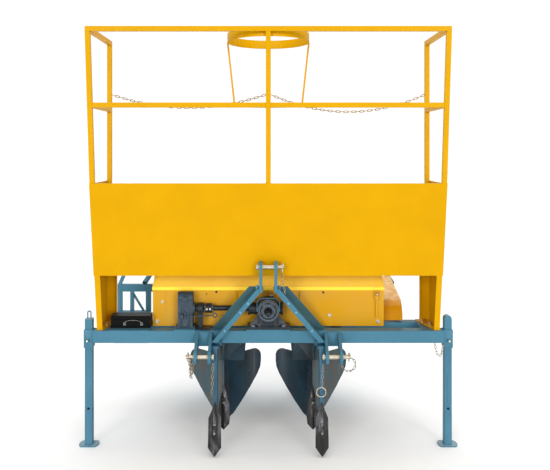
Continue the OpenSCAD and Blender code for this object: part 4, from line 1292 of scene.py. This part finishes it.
@dataclass
class BoxTrim(Fittings):
    """Plugs, rods, seams, bolts and the over-centre latch on the front of the fertiliser box."""

    front_mm: float = 130.0
    # x, z and radius of the rubber plugs
    plugs_mm: Table = ((-364, 1030, 8), (-433, 1015, 4.5), (386, 1026, 8), (-300, 846, 6), (312, 846, 6))
    # x, depth, z, thread and washer of the bolts
    bolts_mm: Table = (
        (428, 0, 868, 12, 26), (-780, 0, 823, 14, 30), (770, 0, 823, 14, 30), (-743, -3, 961, 10, 22))
    seams_mm: tuple[float, float] = (-191, 208)
    seam_mm: float = 2.2
    wire_mm: float = 3.2

    def build(self) -> None:
        """Adds the trim and the latch."""
        y, bottom = self.front_mm, self.box_mm("fertiliser_box")[0].z
        plugs = [self.dome([[r, -0.5], [r, 1.2], [r * 0.8, 2.6], [r * 0.4, 3.4]], (x, y, z))
                 for x, z, r in self.plugs_mm]
        self.put("box_plugs", plugs, "fertiliser_box", BLACK_RUBBER, "black_sheet", 45)
        bolts = [part for x, depth, z, size, washer in self.bolts_mm
                 for part in self.bolt((x, y + depth, z), Axis.FRONT, size, washer)]
        self.put("box_bolts", bolts, "fertiliser_box", ZINC_PLATE, "zinc")
        raised = [self.block((x - 2.5, y - self.seam_mm, bottom + 9), (x + 2.5, y + 0.5, 1040)) for x in self.seams_mm]
        raised.append(self.block((-808, y - 2.5, bottom + 2), (808, y + 0.5, bottom + 9)))
        raised.append(self.block((-783, y - 3, 875), (-718, y + 0.5, 1039)))
        raised += [self.wire([(x, y - 5, z) for z in np.linspace(980, 1032, 12)], 6) for x in (-224, 224)]
        self.put("box_ribs", raised, "fertiliser_box", BOX_ENAMEL, "yellow", 35)
        self.latch()

    def latch(self) -> None:
        """Adds the latch's bail, lever, rivets and knob, and its catch on the lid."""
        y = self.front_mm
        low, high = self.box_mm("box_latch")
        x = (low.x + high.x) / 2
        parts = [self.wire([(x + s, y - 13, z) for z in np.linspace(978, 1034, 10)], self.wire_mm) for s in (-14, 14)]
        parts.append(self.wire([(px, y - 13, 1034) for px in np.linspace(x - 14, x + 14, 10)], self.wire_mm))
        parts.append(self.block((x - 8, y - 13, 863), (x + 8, y - 9, 968), 1.5))
        parts += [self.dome([[3.4, -0.5], [3.4, 1.2], [2, 2.2]], (x + dx, y - 5, z), sides=16)
                  for dx in (-13, 13) for z in (1000, 1036)]
        self.put("latch_wires", parts, "box_latch", BOX_ENAMEL, "yellow", 40)
        knob = self.dome([[5, -2], [5, 6], [8.5, 8], [9.5, 11], [9.5, 15], [7, 18], [3, 19]],
                         (x + 3, y - 5, 1016), sides=32)
        self.put("latch_knob", [knob], "box_latch", ZINC_PLATE, "zinc", 40)
        catch = self.block((x - 18, y - 11, 1045), (x + 18, y - 3.5, 1063), 1.5)
        self.put("latch_catch", [catch], "fertiliser_lid", LID_ENAMEL, "yellow", 40)


@dataclass
class ToolboxTrim(Fittings):
    """The bright arch handle and the rolled rims of the black toolbox.

    The handle's point at angle a lies half its width times cos(a) to the side and
    its rise times sin(a) to the power 0.6 up.
    """

    middle_mm: float = -934.0
    base_mm: float = 825.0
    width_mm: float = 117.0
    rise_mm: float = 25.0
    wire_mm: float = 4.5

    def build(self) -> None:
        """Adds handle, feet and rims."""
        low, high = self.box_mm("toolbox")
        y, x0, half, base = low.y, self.middle_mm, self.width_mm / 2, self.base_mm
        bow = [(x0 - half * math.cos(a), y - 9, base + self.rise_mm * math.sin(a) ** 0.6)
               for a in np.linspace(0, math.pi, 40)]
        parts = [self.wire([(x0 - half, y + 1, base), *bow, (x0 + half, y + 1, base)], self.wire_mm / 2)]
        parts += [self.block((x - 9, y - 2.5, base - 12), (x + 9, y + 0.5, base + 9)) for x in (x0 - half, x0 + half)]
        self.put("toolbox_handle", parts, "toolbox", BOLT_STEEL, "zinc", 50)
        rims = [self.wire([(x, y + 0.5, low.z + z) for x in np.linspace(low.x + 4, high.x - 4, 6)], radius)
                for z, radius in ((4, 2.2), (58, 1.8))]
        self.put("toolbox_rims", rims, "toolbox", BLACK_ENAMEL, "black_sheet", 50)


@dataclass
class Cushions(Fittings):
    """The operators' seat cushions, padded by a cloth simulation and sewn afterwards.

    A cushion starts as a rounded block a little smaller than its space. Inner
    pressure crowns it, and channels and piping are added to the swollen cover.
    """

    inset_mm: float = 13.0
    voxel_mm: float = 8.0
    pressure: float = 4.0
    fill: float = 0.75
    cap_mm: float = 24.0
    steps: int = 20
    calming: int = 14
    channel_mm: float = 7.0
    piping_mm: float = 3.2
    seams: tuple[float, float] = (0.24, 0.7)

    def start_shape(self, name: str, low: Vector, high: Vector) -> Piece:
        """Makes the cushion's block before it swells.

        A level is a rounded square, at a share of the block's size and of its depth.

        Args:
            name: the cushion's name.
            low: the space's lowest corner.
            high: the space's highest corner.

        Returns:
            The block, in the scene.
        """
        half = np.array(high - low)[:2] / 2 - self.inset_mm * MM
        middle = np.array(high + low)[:2] / 2
        edge = rounded_square(72, 0.36)
        depth = high.z - low.z - 0.012
        levels = [(0.0, 0.0), (0.5, 0.0), (0.93, 0.0), (0.985, 0.10), (1.0, 0.3), (1.0, 0.62), (0.985, 0.85),
                  (0.93, 0.97), (0.5, 1.0), (0.0, 1.0)]
        block = skin(name, np.stack([
            np.insert(middle + edge * half * size, 2, low.z + 0.0015 + depth * rise, axis=1) for size, rise in levels]))
        bpy.context.scene.collection.objects.link(block)
        remesh = block.modifiers.new("voxels", "REMESH")
        remesh.mode = "VOXEL"
        remesh.voxel_size = self.voxel_mm * MM
        self.apply(block)
        return block

    def apply(self, piece: Piece) -> None:
        """Bakes a piece's modifiers into its mesh.

        Args:
            piece: the piece.
        """
        graph = bpy.context.evaluated_depsgraph_get()
        mesh = bpy.data.meshes.new_from_object(piece.evaluated_get(graph))
        piece.modifiers.clear()
        piece.data = mesh

    def swell(self, piece: Piece, floor: float) -> None:
        """Blows the cushion up as cloth under inner pressure, without gravity, and calms its creases.

        Args:
            piece: the cushion.
            floor: height of the seat pan that it rests on.
        """
        before = points_of(piece.data)
        cloth = piece.modifiers.new("swell", "CLOTH").settings
        cloth.use_pressure = True
        cloth.uniform_pressure_force = self.pressure
        cloth.quality = 4
        cloth.tension_stiffness = cloth.compression_stiffness = 12.0
        cloth.effector_weights.gravity = 0.0
        scene = bpy.context.scene
        for frame in range(1, self.steps + 1):
            scene.frame_set(frame)
        self.apply(piece)
        scene.frame_set(1)
        shift = points_of(piece.data) - before
        length = np.linalg.norm(shift, axis=1, keepdims=True)
        place = before + shift * np.minimum(1.0, self.cap_mm * MM / np.maximum(length, 1e-9))
        place[:, 2] = np.maximum(place[:, 2], floor)
        piece.data.vertices.foreach_set("co", place.ravel())
        with edited(piece.data) as shape:
            for _ in range(self.calming):
                bmesh.ops.smooth_vert(shape, verts=shape.verts, factor=0.5,
                                      use_axis_x=True, use_axis_y=True, use_axis_z=True)

    def sew(self, piece: Piece, low: Vector, high: Vector) -> None:
        """Fits the cushion to its space and presses its channels in.

        A channel lowers the top by its depth times exp of minus the squared distance
        from its line over its width squared. Two run front to back, one across them.

        Args:
            piece: the swollen cushion.
            low: the space's lowest corner.
            high: the space's highest corner.
        """
        p = points_of(piece.data)
        space_low = np.array(low) + [0.0015, 0.0015, 0.0006]
        space_high = np.array(high) - [0.0015, 0.0015, 0.0015]
        p = space_low + (p - p.min(0)) / (p.max(0) - p.min(0)) * (space_high - space_low)
        size, middle, width = high - low, (low.x + high.x) / 2, self.channel_mm * MM
        weight = np.clip((np.clip((p[:, 2] - low.z) / size.z, 0, 1) - 0.45) / 0.3, 0, 1)
        for axis, line, depth in ((0, middle - size.x / 6, 0.007), (0, middle + size.x / 6, 0.007),
                                  (1, low.y + size.y * 0.76, 0.005)):
            p[:, 2] -= depth * weight * np.exp(-((p[:, axis] - line) / width) ** 2)
        piece.data.vertices.foreach_set("co", p.ravel())
        smooth = piece.modifiers.new("cover", "SUBSURF")
        smooth.levels = smooth.render_levels = 1

    def piping(self, piece: Piece, height: float) -> Piece:
        """Lays piping round the cushion at one height, sunk half into the cover.

        Args:
            piece: the cushion.
            height: height of the seam.

        Returns:
            The piping.
        """
        p = points_of(piece.data)
        middle = (p.min(0) + p.max(0)) / 2
        near = p[np.abs(p[:, 2] - height) < 0.007] - middle
        angle, reach = np.arctan2(near[:, 1], near[:, 0]), np.hypot(near[:, 0], near[:, 1])
        order = np.argsort(angle)
        a = np.linspace(-np.pi, np.pi, 120, endpoint=False)
        r = np.interp(a, angle[order], reach[order], period=2 * np.pi)
        r = (np.roll(r, 1) + r + np.roll(r, -1)) / 3 - 0.0012
        path = np.stack([middle[0] + r * np.cos(a), middle[1] + r * np.sin(a), np.full(len(a), height)], 1)
        return tube("cord", path, self.piping_mm / 2 * MM, 8, True)

    def build(self) -> None:
        """Makes both cushions."""
        low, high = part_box("seat_pads")
        inner = float(np.abs(points_of(self.shop.nodes["seat_pads"].data)[:, 0]).min())
        for name, x0, x1 in (("left_cushion", low.x, -inner), ("right_cushion", inner, high.x)):
            a, b = Vector((x0, low.y, low.z)), Vector((x1, high.y, high.z))
            piece = self.start_shape(name, a, b)
            self.swell(piece, low.z)
            self.sew(piece, a, b)
            self.shop.add(piece, "seat_pads", SEAT_VINYL, "seat_vinyl", 80)
            cords = [self.piping(piece, low.z + (high.z - low.z) * h) for h in self.seams]
            self.put(name + "_piping", cords, "seat_pads", BLACK_RUBBER, "seat_vinyl", 60)
            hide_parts("seat_pads")


@dataclass
class SettChutes(Fittings):
    """The two sheet-steel chutes, open from their flared mouths down to the furrow.

    A level is a rounded square. The levels run up the outside, over the rim and down
    the inside. Each chute's bracket reaches outwards to its frame rail.
    """

    row_mm: float = 345.0
    depth_mm: float = 440.0
    width_mm: float = 120.0
    wall_mm: float = 3.0
    mouth_mm: float = 70.0
    flare: float = 1.5

    def shell(self, side: int, low: float, high: float) -> Piece:
        """Makes one chute.

        Args:
            side: minus one for the left, one for the right.
            low: height of its lower end in millimetres.
            high: height of its rim in millimetres.

        Returns:
            The chute.
        """
        ring = rounded_square(64, 0.16, np.pi / 64)
        half, neck = self.width_mm / 2, high - self.mouth_mm
        wide = half * self.flare
        outside = [(half - 0.6, low), (half, low + 1), (half, neck), (wide - 0.4, high - 3), (wide + 1.2, high - 2.4),
                   (wide + 1.2, high - 0.3), (wide, high)]
        inside = [(wide + 1, high), (wide, high - 2), (half, neck - 1), (half, low + 1), (half + 0.6, low)]
        levels = outside + [(r - self.wall_mm, z) for r, z in inside]
        rows = [self.at(side * self.row_mm, self.depth_mm, z) + np.insert(ring * r * MM, 2, 0, axis=1)
                for r, z in levels]
        return skin("chute", np.stack(rows), True)

    def build(self) -> None:
        """Makes both chutes with their brackets."""
        low, high = self.box_mm("sett_chutes")
        beam = self.box_mm("front_beam")[0].z
        edge, y = self.row_mm + self.width_mm / 2, self.depth_mm
        pieces = []
        for side in SIDES:
            pieces.append(self.shell(side, low.z, high.z))
            ends = sorted((side * (edge - 1), side * high.x))
            pieces.append(self.block((ends[0], y - 15, beam + 10), (ends[1], y + 15, beam + 50), 1.5))
            pieces += self.bolt((side * (edge + 22), y - 15, beam + 30), Axis.FRONT, 10, 22)
        chutes = self.put("sett_chutes_open", pieces, "sett_chutes", YELLOW_ENAMEL, "yellow")
        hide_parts("sett_chutes")


@dataclass
class DeckTread(Fittings):
    """The raised bars of the foot deck's tread plate, as one mesh.

    Bars stand at plus and minus 45 degrees in turn, on a grid whose every other row is
    shifted by half a step. A bar's point is its corner turned by that angle.
    """

    pitch_mm: float = 30.0
    length_mm: float = 25.0
    width_mm: float = 5.0
    height_mm: float = 1.4
    reach_mm: float = 790.0

    def build(self) -> None:
        """Adds the bars on the deck plate's upper face, the highest level far out."""
        low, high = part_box("foot_deck")
        deck = points_of(self.shop.nodes["foot_deck"].data)
        top = float(deck[np.abs(deck[:, 0]) > 0.8, 2].max())
        pitch = self.pitch_mm * MM
        x = np.arange(-self.reach_mm * MM, self.reach_mm * MM, pitch)
        y = np.arange(low.y + 0.03, high.y - 0.02, pitch)
        gx, gy = np.meshgrid(x, y, indexing="ij")
        gx = gx + (np.arange(len(y)) % 2) * pitch / 2
        turn = np.where((np.add.outer(np.arange(len(x)), np.arange(len(y))) % 2) == 0, 1.0, -1.0) * np.pi / 4
        u = np.array([-1, 1, 1, -1, -0.8, 0.8, 0.8, -0.8]) * self.length_mm * MM / 2
        v = np.array([-1, -1, 1, 1, -0.5, -0.5, 0.5, 0.5]) * self.width_mm * MM / 2
        h = np.array([-0.2] * 4 + [1.0] * 4) * self.height_mm * MM
        c, s = np.cos(turn).ravel()[:, None], np.sin(turn).ravel()[:, None]
        points = np.stack([gx.ravel()[:, None] + c * u - s * v, gy.ravel()[:, None] + s * u + c * v,
                           top + np.broadcast_to(h, (gx.size, 8))], -1)
        one = np.array([[4, 5, 6, 7], [0, 1, 5, 4], [1, 2, 6, 5], [2, 3, 7, 6], [3, 0, 4, 7]])
        faces = (one[None] + np.arange(gx.size)[:, None, None] * 8).reshape(-1, 4)
        self.shop.add(mesh_object("deck_tread", points, faces), "foot_deck", BLUE_ENAMEL, "blue", 30)


@dataclass
class EndCaps(Fittings):
    """Domed plastic caps in the open ends of the upper back rail."""

    reach_mm: float = 880.0
    depth_mm: float = 1156.0
    height_mm: float = 1205.0

    def build(self) -> None:
        """Adds a cap at each end."""
        caps = [self.dome([[20.5, -1], [20.5, 1.2], [18.5, 2.4], [10, 3]],
                          (side * self.reach_mm, self.depth_mm, self.height_mm), out, 32)
                for side, out in zip(SIDES, OUTWARDS)]
        self.put("pipe_caps", caps, "grab_pipes", BLACK_RUBBER, "black_sheet", 45)


@dataclass
class ShareBolts(Fittings):
    """Bright bolt heads through the shares, each where a line from the front meets the share, square to its face."""

    # x, then the height of each bolt; the line starts well ahead of the machine
    ripper_mm: Place = (355.0, 213.0, 158.5)
    ridger_mm: tuple[float, float] = (305.0, 292.0)
    start_mm: float = -900.0

    def build(self) -> None:
        """Adds the heads."""
        for node, x, *heights in (("ripper_shares", *self.ripper_mm), ("ridger_shares", *self.ridger_mm)):
            starts = [self.at(side * x, self.start_mm, z) for side in SIDES for z in heights]
            heads = [part for start in starts
                     for part in hex_bolt(*self.shop.touch(node, start, Axis.BACK), 0.009, 0.017)]
            self.put(node + "_bolts", heads, node, BOLT_STEEL, "zinc")


@dataclass
class Studio:
    """The floor, the light and the camera at the photograph's viewing angle.

    The camera is level. Its distance and height are worked out from the hitch and
    the drum hoop, and its shift puts the horizon where the photograph has it.
    """

    focal_px: float = 670.0
    centre_px: float = 268.3
    horizon_px: float = 148.0
    distance: float = 4.570
    eye_height: float = 2.039
    sensor_mm: float = 36.0
    sky: float = 1.06
    front: float = 0.2

    def build(self, paints: Paints) -> None:
        """Sets up floor, world light, lamps and camera.

        Args:
            paints: gives the floor's material.
        """
        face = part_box("front_beam")[0].y
        camera = bpy.data.cameras.new("camera")
        camera.sensor_width = self.sensor_mm
        camera.sensor_fit = "HORIZONTAL"
        camera.lens = self.focal_px * self.sensor_mm / PHOTO_WIDTH
        camera.shift_x = (PHOTO_WIDTH / 2 - self.centre_px) / PHOTO_WIDTH
        camera.shift_y = (self.horizon_px - PHOTO_HEIGHT / 2) / PHOTO_WIDTH
        view = bpy.data.objects.new("camera", camera)
        view.location = (0.0, face - self.distance, self.eye_height)
        view.rotation_euler = (math.radians(90), 0, 0)
        bpy.context.scene.collection.objects.link(view)
        bpy.context.scene.camera = view
        self.floor(paints)
        self.lamps()
        bpy.context.scene.view_settings.view_transform = "Standard"

    def floor(self, paints: Paints) -> None:
        """Lays a plain pale floor.

        Args:
            paints: where its finish comes from.
        """
        x = np.linspace(-40, 40, 3)
        grid = np.stack([*np.meshgrid(x, x, indexing="ij"), np.zeros((3, 3))], -1)
        floor = mesh_object("floor", grid, grid_faces(3, 3, False, False)[:, ::-1])
        floor.data.materials.append(paints.of(FLOOR_PAINT))
        bpy.context.scene.collection.objects.link(floor)

    def lamps(self) -> None:
        """Adds soft studio light: a white sky, dimmer in front, and three wide suns.

        The sky's strength runs from the front value, at the viewer's back, to the
        full value ahead and overhead, and it shows white from every side.
        """
        world = bpy.data.worlds.new("studio")
        bpy.context.scene.world = world
        world.use_nodes = True
        tree = world.node_tree
        place = add_node(tree, "TexCoord", out="Generated")
        y = add_node(tree, "SeparateXYZ", inputs={0: place}, out="Y")
        ahead = add_node(tree, "MapRange", inputs={0: y, 1: -0.75, 2: 0.05, 3: self.front, 4: self.sky})
        seen = add_node(tree, "LightPath", out="Is Camera Ray")
        shown = add_node(tree, "Mix", inputs={0: seen, 2: ahead, 3: self.sky})
        feed(tree, tree.nodes["Background"], {"Color": linear("FFFFFF"), "Strength": shown})
        for name, elevation, turn, angle, power in (
                ("low_left", 12, -22, 22, 1.35), ("low_right", 12, 24, 22, 1.3), ("top", 82, 20, 50, 1.0)):
            lamp = bpy.data.lights.new(name, "SUN")
            lamp.energy = power
            lamp.angle = math.radians(angle)
            holder = bpy.data.objects.new(name, lamp)
            holder.rotation_euler = (math.radians(90 - elevation), 0, math.radians(turn))
            bpy.context.scene.collection.objects.link(holder)


def main() -> None:
    """Builds the machine's looks in order and reports each piece."""
    logging.basicConfig(level=logging.INFO, format="%(name)s: %(message)s")
    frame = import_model()
    paints = Paints()
    Studio().build(paints)
    slots = {s["node"]: s["material_slot"] for s in frame["record"]["subparts"]}
    shop = Workshop(paints, frame["nodes"], slots)
    for node in sorted(frame["nodes"]):
        if node not in ("safety_chains", "seat_pads", "sett_chutes"):
            shop.dress_node(node)
    for kind in (SafetyChains, Cushions, DeckTread, SettChutes, HitchFittings, StandFittings, FrameWelds, BoltWork,
                 DriveTrim, CrossShaftTrim, BoxTrim, ToolboxTrim, EndCaps, ShareBolts):
        kind(shop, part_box("front_beam")[0].y).build()
    LOG.info("%d pieces", shop.count)


if __name__ == "__main__":
    main()
